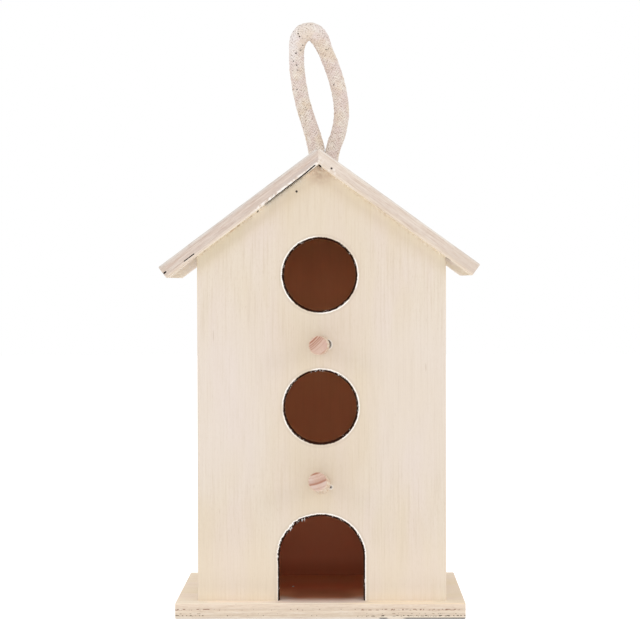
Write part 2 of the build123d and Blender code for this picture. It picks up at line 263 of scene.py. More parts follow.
# ---------------------------------------------------------------- materials
class Graph:
    """Short forms for building a material's node tree."""

    def __init__(self, name):
        self.material = bpy.data.materials.new(name)
        self.material.use_nodes = True
        self.tree = self.material.node_tree
        self.tree.nodes.clear()
        self.out = self.tree.nodes.new("ShaderNodeOutputMaterial")
        self.bsdf = self.tree.nodes.new("ShaderNodeBsdfPrincipled")
        self.tree.links.new(self.bsdf.outputs[0], self.out.inputs[0])
        self.coords = self.tree.nodes.new("ShaderNodeTexCoord")
        self.mm = self.vec("SUBTRACT", self.vec("SCALE", self.coords.outputs["Object"], scale=1000.0), (0.0, 0.0, LEVEL))
        self.normal = self.coords.outputs["Normal"]

    def put(self, socket, value):
        if isinstance(value, bpy.types.NodeSocket):
            self.tree.links.new(value, socket)
        elif isinstance(value, (tuple, list)) and len(value) == 3 and len(socket.default_value) == 4:
            socket.default_value = (*value, 1.0)
        else:
            socket.default_value = value

    def math(self, operation, a, b=None, c=None, clamp=False):
        node = self.tree.nodes.new("ShaderNodeMath")
        node.operation = operation
        node.use_clamp = clamp
        for socket, value in zip(node.inputs, (a, b, c)):
            if value is not None:
                self.put(socket, value)
        return node.outputs[0]

    def add(self, a, b):
        return self.math("ADD", a, b)

    def sub(self, a, b):
        return self.math("SUBTRACT", a, b)

    def mul(self, a, b):
        return self.math("MULTIPLY", a, b)

    def vec(self, operation, a, b=None, scale=None):
        node = self.tree.nodes.new("ShaderNodeVectorMath")
        node.operation = operation
        self.put(node.inputs[0], a)
        if b is not None:
            self.put(node.inputs[1], b)
        if scale is not None:
            self.put(node.inputs["Scale"], scale)
        return node.outputs["Value"] if operation in ("DOT_PRODUCT", "LENGTH", "DISTANCE") else node.outputs["Vector"]

    def split(self, v):
        node = self.tree.nodes.new("ShaderNodeSeparateXYZ")
        self.put(node.inputs[0], v)
        return node.outputs[0], node.outputs[1], node.outputs[2]

    def join(self, x, y, z):
        node = self.tree.nodes.new("ShaderNodeCombineXYZ")
        for socket, value in zip(node.inputs, (x, y, z)):
            self.put(socket, value)
        return node.outputs[0]

    def smooth(self, value, low, high, to_low=0.0, to_high=1.0):
        node = self.tree.nodes.new("ShaderNodeMapRange")
        node.interpolation_type = "SMOOTHSTEP"
        for socket, v in zip(node.inputs, (value, low, high, to_low, to_high)):
            self.put(socket, v)
        return node.outputs[0]

    def noise(self, vector, scale, detail=2.0, rough=0.5, distortion=0.0):
        node = self.tree.nodes.new("ShaderNodeTexNoise")
        self.put(node.inputs["Vector"], vector)
        self.put(node.inputs["Scale"], scale)
        self.put(node.inputs["Detail"], detail)
        self.put(node.inputs["Roughness"], rough)
        self.put(node.inputs["Distortion"], distortion)
        return node.outputs[0]

    def mix(self, factor, a, b, blend="MIX"):
        node = self.tree.nodes.new("ShaderNodeMix")
        node.data_type = "RGBA"
        node.blend_type = blend
        self.put(node.inputs[0], factor)
        self.put(node.inputs[6], a)
        self.put(node.inputs[7], b)
        return node.outputs[2]

    def blendf(self, factor, a, b):
        node = self.tree.nodes.new("ShaderNodeMix")
        node.data_type = "FLOAT"
        self.put(node.inputs[0], factor)
        self.put(node.inputs[2], a)
        self.put(node.inputs[3], b)
        return node.outputs[0]

    def ramp(self, value, stops, interpolation="LINEAR"):
        """stops: (position, grey or colour)"""
        node = self.tree.nodes.new("ShaderNodeValToRGB")
        self.put(node.inputs[0], value)
        ramp = node.color_ramp
        ramp.interpolation = interpolation
        while len(ramp.elements) < len(stops):
            ramp.elements.new(0.5)
        for element, (position, colour) in zip(ramp.elements, stops):
            element.position = position
            element.color = (*((colour,) * 3 if isinstance(colour, (int, float)) else colour), 1.0)
        return node.outputs[0]

    def bump(self, height, strength, distance, normal=None):
        node = self.tree.nodes.new("ShaderNodeBump")
        node.inputs["Strength"].default_value = strength
        node.inputs["Distance"].default_value = distance
        self.put(node.inputs["Height"], height)
        if normal is not None:
            self.put(node.inputs["Normal"], normal)
        return node.outputs[0]

    def finish(self, colour, roughness, normal, specular=0.3):
        self.put(self.bsdf.inputs["Base Color"], colour)
        self.put(self.bsdf.inputs["Roughness"], roughness)
        self.bsdf.inputs["Specular IOR Level"].default_value = specular
        if normal is not None:
            self.put(self.bsdf.inputs["Normal"], normal)
        return self.material


def srgb(r, g, b):
    """8-bit screen colour to the linear colour that a shader takes."""
    return tuple(((c / 255 + 0.055) / 1.055) ** 2.4 if c > 10.3 else c / 255 / 12.92 for c in (r, g, b))


def wood(r, g, b):
    """Albedo that comes out as this screen colour on a face that looks at the camera."""
    r, g, b = srgb(r, g, b)
    return (r * 0.822, g * 0.819, b * 0.832)


def yarn(r, g, b):
    r, g, b = srgb(r, g, b)
    return (r * 0.85, g * 0.85, b * 0.88)


CREAM = wood(234, 221, 203)
SAND = wood(232, 217, 194)
BLUSH = wood(234, 219, 208)
STREAK = wood(214, 196, 170)
EDGE_LONG = wood(241, 226, 203)
EDGE_END = wood(226, 208, 190)
GLUE = wood(190, 152, 128)
# painted shade: the dark brown that stands in for the shadowed cavity's inner faces
CAVITY_SHADE = (0.90, 0.405, 0.203)
CHAR = (0.032, 0.011, 0.006)

# Where the plies meet, as shares of the thickness, and how dark each glue line is.
BASE_PLY = [(0.28, 0.10), (0.44, 0.45), (0.64, 0.10), (0.79, 0.8)]
ROOF_PLY = [(0.12, 0.10), (0.40, 0.45), (0.53, 0.25), (0.79, 0.50)]
THREE_PLY = [(0.22, 0.5), (0.78, 0.6)]
# How pale each ply is on the sawn edge, from the outer face inwards.
BASE_TONES = (0.95, 0.75, 0.60, 0.70, 0.55)
ROOF_TONES = (0.60, 0.0, 0.65, 0.05, 1.0)
THREE_TONES = (0.8, 0.3, 0.8)
# The tone of the edges in layers, from the upper face down: (share of the thickness, colour).
BASE_BANDS = [(0.0, (241, 223, 201)), (0.10, (240, 221, 199)), (0.19, (237, 217, 195)), (0.27, (238, 219, 196)), (0.31, (229, 210, 188)),
              (0.38, (228, 209, 186)), (0.43, (223, 204, 181)), (0.485, (231, 212, 189)), (0.54, (238, 221, 198)), (0.61, (234, 217, 195)),
              (0.67, (227, 210, 187)), (0.74, (225, 207, 185)), (0.79, (219, 202, 179)), (0.84, (229, 212, 189)), (0.91, (230, 216, 197)),
              (0.96, (228, 217, 204)), (1.0, (218, 208, 196))]
LEFT_BANDS = [(0.0, (228, 222, 215)), (0.08, (225, 217, 209)), (0.14, (219, 206, 195)), (0.21, (219, 204, 192)), (0.29, (214, 197, 184)),
              (0.36, (220, 202, 188)), (0.43, (226, 208, 195)), (0.50, (220, 202, 189)), (0.57, (217, 200, 187)), (0.66, (218, 200, 187)),
              (0.73, (216, 200, 187)), (0.79, (221, 205, 191)), (0.86, (236, 220, 203)), (0.93, (238, 220, 201)), (1.0, (234, 216, 194))]
RIGHT_BANDS = [(0.0, (242, 236, 226)), (0.08, (239, 230, 219)), (0.14, (234, 221, 207)), (0.21, (233, 217, 201)), (0.29, (229, 213, 197)),
               (0.36, (228, 212, 198)), (0.44, (233, 218, 203)), (0.51, (233, 218, 203)), (0.57, (229, 213, 199)), (0.66, (226, 210, 195)),
               (0.73, (226, 210, 193)), (0.79, (229, 212, 194)), (0.86, (236, 219, 200)), (0.93, (239, 222, 201)), (1.0, (237, 220, 198))]


def unit3(v):
    v = Vector(v).normalized()
    return tuple(v)


def plywood(name, origin, along, across, inward, thickness, plies, tones, seed, extra=None):
    """Pale raw plywood. along is the face grain, inward the direction through the board from its outer face."""
    g = Graph(name)
    rel = g.vec("SUBTRACT", g.mm, origin)
    length = g.add(g.vec("DOT_PRODUCT", rel, unit3(along)), seed * 211.0)
    cross = g.add(g.vec("DOT_PRODUCT", rel, unit3(across)), seed * 137.0)
    depth = g.vec("DOT_PRODUCT", rel, unit3(inward))
    share = g.mul(depth, 1.0 / thickness)
    flat = g.math("ABSOLUTE", g.vec("DOT_PRODUCT", g.normal, unit3(inward)))
    is_edge = g.smooth(flat, 0.80, 0.72)

    # Face veneer: fine straight grain, soft broad bands, faint growth figure, short dark flecks.
    lines = g.noise(g.join(cross, depth, g.mul(length, 0.030)), 1.15, 4.0, 0.62, 0.12)
    fine = g.noise(g.join(cross, depth, g.mul(length, 0.12)), 3.0, 2.0, 0.6)
    weave = g.noise(g.join(g.mul(cross, 0.35), depth, length), 1.1, 2.0, 0.6)
    zones = g.noise(g.join(g.mul(cross, 1.0), depth, g.mul(length, 0.45)), 0.026, 2.0, 0.5, 0.4)
    zones2 = g.noise(g.join(g.mul(cross, 1.3), g.add(depth, 40.0), g.mul(length, 0.30)), 0.045, 2.0, 0.5)
    swirl = g.noise(g.join(g.mul(cross, 0.5), depth, g.mul(length, 0.16)), 0.045, 1.0, 0.5)
    figure = g.math("SINE", g.add(g.mul(cross, 0.9), g.mul(swirl, 34.0)))
    flecks = g.noise(g.join(cross, depth, g.mul(length, 0.11)), 1.7, 1.0, 0.5)
    face = g.mix(g.smooth(zones, 0.36, 0.64), CREAM, SAND)
    face = g.mix(g.mul(g.smooth(zones2, 0.42, 0.66), 0.7), face, BLUSH)
    face = g.mix(g.mul(g.smooth(lines, 0.48, 0.74), 0.55), face, STREAK)
    face = g.mix(g.mul(g.smooth(fine, 0.48, 0.74), 0.40), face, STREAK)
    face = g.mix(g.mul(g.smooth(weave, 0.50, 0.80), 0.16), face, STREAK)
    face = g.mix(g.mul(g.smooth(figure, 0.2, 1.0), 0.06), face, STREAK)
    face = g.mix(g.mul(g.smooth(lines, 0.48, 0.25), 0.40), face, wood(242, 231, 215))
    face = g.mix(g.mul(g.smooth(flecks, 0.70, 0.78), 0.28), face, wood(184, 156, 126))

    # Edges: the plies, with dashed dark glue lines between them.
    wave = g.noise(g.vec("SCALE", rel, scale=1.0), 0.11, 2.0, 0.5)
    level = g.add(share, g.mul(g.sub(wave, 0.5), 0.045))
    stops, paler, turned = [(0.0, 0.0)], [(0.0, tones[0])], 0.0
    for number, (at, _) in enumerate(plies):
        stops += [(at - 0.006, turned), (at + 0.006, 1.0 - turned)]
        paler += [(at - 0.018, tones[number]), (at + 0.018, tones[number + 1])]
        turned = 1.0 - turned
    stops.append((1.0, turned))
    paler.append((1.0, tones[-1]))
    is_cross = g.ramp(level, stops)
    run_long = g.noise(g.join(cross, g.mul(depth, 1.5), g.mul(length, 0.05)), 1.5, 3.0, 0.6)
    run_cross = g.noise(g.join(g.mul(cross, 0.05), g.mul(depth, 1.5), length), 1.5, 3.0, 0.6)
    run = g.blendf(is_cross, run_long, run_cross)
    facing_long = g.math("ABSOLUTE", g.vec("DOT_PRODUCT", g.normal, unit3(along)))
    facing_cross = g.math("ABSOLUTE", g.vec("DOT_PRODUCT", g.normal, unit3(across)))
    end_grain = g.smooth(g.blendf(is_cross, facing_long, facing_cross), 0.55, 0.75)
    bands = g.noise(g.join(g.mul(share, 9.0), g.mul(length, 0.012), g.mul(cross, 0.012)), 1.0, 1.0, 0.5)
    edge = g.mix(g.add(g.ramp(level, paler), g.mul(g.sub(bands, 0.5), 0.9)), EDGE_END, EDGE_LONG)
    edge = g.mix(g.mul(end_grain, 0.22), edge, wood(222, 198, 182))
    edge = g.mix(g.mul(g.smooth(run, 0.50, 0.72), 0.50), edge, wood(214, 194, 176))
    edge = g.mix(g.mul(g.smooth(run, 0.48, 0.28), 0.45), edge, wood(243, 231, 214))
    stops = [(0.0, 0.0)]
    for at, dark in plies:
        stops += [(at - 0.030, 0.0), (at - 0.008, dark), (at + 0.008, dark), (at + 0.030, 0.0)]
    stops.append((1.0, 0.0))
    glue = g.ramp(level, stops)
    ends_noise = g.noise(g.vec("SCALE", rel, scale=1.0), 0.42, 2.0, 0.6)
    dash = g.smooth(ends_noise, 0.50, 0.60)
    edge = g.mix(g.mul(glue, g.blendf(dash, 0.20, 0.75)), edge, GLUE)
    hole_dash = g.smooth(g.noise(g.vec("SCALE", rel, scale=1.0), 0.62, 1.0, 0.5, 0.6), 0.60, 0.66)
    edge = g.mix(g.mul(g.smooth(glue, 0.70, 0.95), g.mul(hole_dash, 0.85)), edge, srgb(92, 62, 44))

    colour = g.mix(is_edge, face, edge)
    height_face = g.add(g.mul(lines, 0.6), g.mul(fine, 0.4))
    height_edge = g.sub(run, g.mul(glue, 0.5))
    height = g.blendf(is_edge, height_face, height_edge)
    matte = 0.0
    if extra is not None:
        colour, height, matte = extra(g, colour, height, share, is_edge)
    normal = g.bump(height, 0.35, 0.00012)
    rough = g.smooth(lines, 0.2, 0.8, 0.62, 0.78)
    g.finish(colour, rough, normal)
    g.put(g.bsdf.inputs["Specular IOR Level"], g.mul(g.sub(1.0, matte), 0.3))
    return g.material


def layered(g, colour, share, bands, run, seed, factor, grain=0.30, gain=1.0):
    """Edge colour from the bands, with thin darker and paler streaks along the board. run is the place along it."""
    wave = g.noise(g.mm, 0.10, 2.0, 0.5)
    at = g.add(share, g.mul(g.sub(wave, 0.5), 0.045))
    tone = g.ramp(at, [(place, wood(*c)) for place, c in bands])
    thin = g.noise(g.join(g.mul(share, 17.0), g.mul(run, 0.060), seed), 1.0, 3.0, 0.62)
    short = g.noise(g.join(g.mul(share, 24.0), g.mul(run, 0.34), seed + 3.0), 1.0, 2.0, 0.6)
    tone = g.mix(g.mul(g.smooth(thin, 0.50, 0.64), grain), tone, wood(188, 160, 140))
    tone = g.mix(g.mul(g.smooth(thin, 0.47, 0.33), grain * 1.1), tone, wood(247, 238, 224))
    tone = g.mix(g.mul(g.smooth(short, 0.56, 0.68), grain * 0.7), tone, wood(184, 154, 134))
    tone = g.mix(g.mul(g.smooth(short, 0.42, 0.32), grain * 0.8), tone, wood(250, 243, 230))
    return g.mix(factor, colour, g.mix(1.0, tone, (gain, gain, gain), "MULTIPLY"))


def inside_mask(g, margin=0.06):
    """1 on the surfaces of the cavity between the walls."""
    x, y, z = g.split(g.mm)
    side = g.math("LESS_THAN", g.math("ABSOLUTE", g.sub(x, 0.35)), 55.85 + margin)
    front = g.math("GREATER_THAN", y, -45.0 - margin)
    back = g.math("LESS_THAN", y, 47.5 + margin)
    low = g.math("GREATER_THAN", z, 7.5)
    return g.mul(g.mul(side, front), g.mul(back, low))


def cavity_shade(g, gain=1.0):
    """Painted shade of the inner faces: a dark brown that stands in for the shadowed cavity, a little uneven, with
    painted light in a band round the upper entrance's height, and darker towards the floor.
    """
    x, y, z = g.split(g.mm)
    patch = g.noise(g.join(x, y, g.mul(z, 0.3)), 0.06, 2.0, 0.5)
    grain = g.noise(g.join(x, y, g.mul(z, 0.05)), 0.9, 3.0, 0.6)
    base = tuple(c * gain for c in CAVITY_SHADE)
    tone = g.mix(g.smooth(patch, 0.35, 0.65), base, tuple(c * 0.95 for c in base))
    tone = g.mix(g.mul(g.smooth(grain, 0.45, 0.75), 0.35), tone, tuple(c * 0.86 for c in base))
    tone = g.mix(g.smooth(z, 55.0, 85.0), tone, g.mix(1.0, tone, (1.0, 1.09, 1.02), "MULTIPLY"))
    tone = g.mix(g.mul(g.smooth(z, 136.0, 152.0), g.smooth(z, 184.0, 162.0)), tone, g.mix(1.0, tone, (1.10, 1.17, 1.20), "MULTIPLY"))
    tone = g.mix(g.smooth(z, 176.0, 190.0), tone, g.mix(1.0, tone, (0.93, 0.98, 0.98), "MULTIPLY"))
    tone = g.mix(g.smooth(z, 70.0, 12.0), tone, (base[0] * 0.84, base[1] * 0.77, base[2] * 0.80))
    return g.mix(g.mul(g.smooth(z, 19.0, 9.0), g.math("GREATER_THAN", z, 7.62)), tone, (base[0] * 0.66, base[1] * 0.52, base[2] * 0.47))


def inner_faces(g, colour, height, share, is_edge):
    # the cavity side gets the painted shade of the inner faces
    return g.mix(inside_mask(g), colour, cavity_shade(g)), height, 0.0


def from_openings(g, x, z):
    """Distance outwards from the edge of the nearest of the two entrances and the doorway."""
    upper = g.sub(g.vec("LENGTH", g.join(g.add(x, 0.5), 0.0, g.sub(z, 172.5))), 18.15)
    lower = g.sub(g.vec("LENGTH", g.join(g.add(x, 0.1), 0.0, g.sub(z, 105.6))), 18.15)
    rise = g.math("MAXIMUM", g.sub(z, 29.2), 0.0)
    door = g.sub(g.vec("LENGTH", g.join(g.sub(x, 0.1), 0.0, rise)), 21.3)
    return g.math("MINIMUM", g.math("MINIMUM", upper, lower), door)


def below_roof(g, x, z):
    """How far a place in the front wall lies under the roof boards."""
    left = g.add(g.mul(g.add(x, 1.1), math.tan(LEFT_PITCH)), RIDGE_Z - PLY / math.cos(LEFT_PITCH))
    right = g.sub(RIDGE_Z - PLY / math.cos(RIGHT_PITCH), g.mul(g.add(x, 1.1), math.tan(RIGHT_PITCH)))
    return g.sub(g.math("MINIMUM", left, right), z)


def front_extra(g, colour, height, share, is_edge):
    """Toasted rims of the sawn openings, broad tone, the stain under the gable, the gaps by the perches, and painted
    light and shade under the roof, in the gaps and on the cavity side.
    """
    x, y, z = g.split(g.mm)
    d = from_openings(g, x, z)
    roof = below_roof(g, x, z)
    at_face = g.math("LESS_THAN", share, 0.13)
    wide_x = g.math("ABSOLUTE", x)
    # broad tone of the veneer: cooler at mid height, warmer low down and along the middle; painted shade, darker and
    # warmer, under the roof
    colour = g.mix(g.mul(g.mul(g.smooth(g.math("ABSOLUTE", g.sub(z, 108.0)), 62.0, 20.0), g.smooth(wide_x, 16.0, 36.0)), 0.45),
                   colour, wood(235, 223, 213))
    colour = g.mix(g.mul(g.smooth(z, 62.0, 22.0), 0.45), colour, wood(233, 216, 194))
    middle = g.mul(g.smooth(wide_x, 34.0, 12.0), g.smooth(z, 30.0, 60.0))
    colour = g.mix(g.mul(middle, 0.40), colour, wood(230, 213, 186))
    # painted shade under the roof boards
    colour = g.mix(g.mul(g.smooth(roof, 15.0, 1.0), 0.42), colour, wood(216, 197, 164))
    spot = g.vec("LENGTH", g.join(g.add(x, 0.2), 0.0, g.mul(g.sub(z, 226.3), 0.9)))
    stain = g.mul(g.smooth(spot, 11.0, 1.5), g.smooth(g.noise(g.mm, 0.35, 3.0, 0.6), 0.30, 0.56))
    colour = g.mix(g.mul(stain, 0.72), colour, wood(192, 163, 138))
    # light comes back from the base
    foot = g.mul(g.add(g.smooth(z, 45.0, 22.0, 0.0, 0.04), g.smooth(z, 16.0, 8.0, 0.0, 0.13)), g.math("LESS_THAN", share, 0.09))
    foot = g.add(foot, 1.0)
    colour = g.mix(1.0, colour, g.join(foot, g.add(g.mul(g.sub(foot, 1.0), 0.12), foot), g.add(g.mul(g.sub(foot, 1.0), 0.12), foot)), "MULTIPLY")
    # mottled line right under the roof boards
    crumbs = g.noise(g.mm, 0.8, 2.0, 0.6)
    near = g.smooth(roof, 2.6, 0.6)
    colour = g.mix(g.mul(g.mul(near, g.smooth(crumbs, 0.56, 0.66)), 0.40), colour, wood(186, 160, 128))
    colour = g.mix(g.mul(g.mul(near, g.smooth(crumbs, 0.40, 0.32)), 0.45), colour, wood(250, 244, 232))
    # light comes back from the roof's front edge
    lit = g.mul(g.mul(g.smooth(roof, 7.0, 1.5), g.math("GREATER_THAN", roof, -0.3)), g.math("LESS_THAN", share, 0.09))
    colour = g.mix(lit, colour, g.mix(1.0, colour, (1.09, 1.115, 1.15), "MULTIPLY"))
    # painted shade under the roof at the left, painted light under it at the right and over the middle-left
    colour = g.mix(g.mul(g.mul(g.smooth(roof, 12.0, 3.0), g.smooth(x, -20.0, -28.0)), g.math("LESS_THAN", share, 0.09)), colour,
                   g.mix(1.0, colour, (0.955, 0.965, 0.94), "MULTIPLY"))
    colour = g.mix(g.mul(g.mul(g.smooth(roof, 9.0, 2.0), g.smooth(x, 6.0, 16.0)), g.math("LESS_THAN", share, 0.09)), colour,
                   g.mix(1.0, colour, (1.025, 1.035, 1.03), "MULTIPLY"))
    lit = g.mul(g.mul(g.smooth(roof, 5.5, 0.6), g.math("LESS_THAN", share, 0.09)), g.smooth(g.math("ABSOLUTE", g.add(x, 17.5)), 18.0, 14.5))
    colour = g.mix(lit, colour, g.mix(1.0, colour, (1.09, 1.10, 1.11), "MULTIPLY"))
    lit = g.mul(g.mul(g.smooth(roof, 13.0, 5.0), g.math("LESS_THAN", share, 0.09)), g.smooth(g.math("ABSOLUTE", g.add(x, 17.5)), 20.0, 12.0))
    colour = g.mix(lit, colour, g.mix(1.0, colour, (1.02, 1.02, 1.02), "MULTIPLY"))
    for mx, wide, tall, much, tone in ((-31.7, 0.62, 0.8, 0.85, (74, 58, 44)), (-35.2, 0.8, 0.6, 0.35, (150, 122, 96)),
                                       (-41.4, 0.9, 0.7, 0.60, (150, 116, 84)), (-44.7, 1.4, 0.7, 0.50, (190, 142, 104)),
                                       (-58.6, 0.7, 0.6, 0.40, (150, 128, 100))):
        mark = g.mul(g.smooth(g.math("ABSOLUTE", g.sub(x, mx)), wide, wide * 0.4), g.smooth(g.sub(roof, 0.3), tall, tall * 0.4))
        colour = g.mix(g.mul(g.mul(mark, g.math("LESS_THAN", share, 0.09)), much), colour, wood(*tone))
    # the rim: a thin burnt edge, paler torn fibres outside of it, a few chips
    ragged = g.noise(g.mm, 0.75, 3.0, 0.65)
    reach = g.add(g.mul(g.sub(ragged, 0.5), 1.0), g.mul(g.sub(g.noise(g.mm, 1.9, 2.0, 0.6), 0.5), 0.75))
    torn = g.smooth(g.vec("LENGTH", g.join(g.add(x, 12.2), 0.0, g.sub(z, 45.2))), 8.0, 4.0)
    reach = g.add(reach, g.mul(torn, g.mul(g.sub(g.noise(g.mm, 0.55, 2.0, 0.6), 0.38), 2.8)))
    torn = g.smooth(g.vec("LENGTH", g.join(g.add(x, 20.4), 0.0, g.mul(g.sub(z, 33.0), 0.8))), 7.0, 4.0)
    reach = g.add(reach, g.mul(torn, g.mul(g.sub(g.noise(g.mm, 0.80, 2.0, 0.6), 0.40), 2.0)))
    burnt = g.smooth(z, 26.0, 36.0, 0.66, 0.92)
    rim = g.smooth(g.sub(g.sub(d, reach), burnt), 0.10, -0.08)
    patchy = g.smooth(g.noise(g.mm, 0.085, 2.0, 0.5), 0.40, 0.56)
    by_door = g.smooth(z, 56.0, 50.0)
    away = g.sub(d, g.mul(reach, 0.8))
    thin = g.mul(g.mul(g.smooth(z, 40.0, 30.0), g.smooth(x, 4.0, -4.0)), 0.26)
    halo = g.mul(g.smooth(g.sub(g.add(away, thin), burnt), 0.78, 0.40), g.smooth(g.sub(d, burnt), -0.14, 0.10))
    dull = g.mul(g.smooth(away, 2.9, 2.2), g.smooth(away, 1.5, 1.9))
    colour = g.mix(g.mul(dull, 0.30), colour, wood(206, 188, 168))
    halo = g.mul(halo, g.math("MAXIMUM", patchy, by_door))
    colour = g.mix(g.mul(halo, 0.90), colour, (0.95, 0.925, 0.89))
    chip = g.smooth(g.noise(g.mm, 0.95, 2.0, 0.6), 0.635, 0.67)
    # inside the cut the wood is burnt dark brown at the face and goes over into painted shade, a darkened cavity brown,
    # deeper in
    wall = g.mul(is_edge, g.smooth(d, 0.85, 0.70))
    cut = g.mix(g.smooth(ragged, 0.4, 0.7), (0.030, 0.011, 0.006), (0.075, 0.030, 0.016))
    cut = g.mix(g.smooth(share, 0.35, 1.0), cut, tuple(c * 0.28 for c in CAVITY_SHADE))
    in_cut = g.math("LESS_THAN", d, 0.30)
    colour = g.mix(g.math("MAXIMUM", wall, g.mul(in_cut, g.smooth(share, 0.05, 0.10))), colour, cut)
    colour = g.mix(g.mul(rim, at_face), colour, CHAR)
    colour = g.mix(g.mul(g.mul(chip, patchy), g.mul(g.mul(rim, at_face), 0.95)), colour, wood(244, 236, 224))
    # broken veneer beside the dowels: painted shade inside the recess, with a pale ring round its right side
    dark = rim
    for cx, cz, r in ((3.22, 137.30, 2.36), (4.85, 65.1, 0.84)):
        away = g.vec("LENGTH", g.join(g.sub(x, cx), 0.0, g.sub(z, cz)))
        deeper = g.math("LESS_THAN", share, 0.30)
        hollow = g.mul(g.math("LESS_THAN", away, r), deeper)
        dark = g.math("MAXIMUM", dark, hollow)
        colour = g.mix(hollow, colour, (0.030, 0.014, 0.007))
        colour = g.mix(g.mul(g.mul(g.smooth(away, r + 0.8, r + 0.2), g.math("GREATER_THAN", x, 3.0)), 0.6), colour,
                       wood(252, 246, 236))
    # painted shade on the upper edge where the boards above don't sit tight: the gap's shadow, painted near-black
    top = g.mul(g.math("LESS_THAN", roof, 0.5), g.math("GREATER_THAN", g.split(g.normal)[2], 0.68))
    top = g.mul(top, g.math("LESS_THAN", g.math("ABSOLUTE", g.add(x, 16.0)), 17.6))
    colour = g.mix(top, colour, (0.016, 0.012, 0.010))
    # the cavity side: painted shade of the inner faces
    colour = g.mix(inside_mask(g), colour, cavity_shade(g))
    # short mineral marks in the grain, and one pin hole painted as a dark dot of shade
    for mx, mz, tall in ((-54.3, 141.8, 4.0), (53.0, 125.7, 3.0), (41.0, 205.0, 2.0)):
        mark = g.vec("LENGTH", g.join(g.mul(g.sub(x, mx), 2.2), 0.0, g.mul(g.sub(z, mz), 1.0 / tall)))
        colour = g.mix(g.mul(g.smooth(mark, 1.0, 0.3), 0.30), colour, wood(184, 160, 132))
    pin = g.vec("LENGTH", g.join(g.add(x, 12.1), 0.0, g.sub(z, 214.6)))
    colour = g.mix(g.smooth(pin, 0.72, 0.45), colour, (0.02, 0.013, 0.010))
    matte = g.math("MAXIMUM", g.math("MAXIMUM", dark, top), in_cut)
    return colour, g.sub(height, g.mul(rim, 0.8)), matte


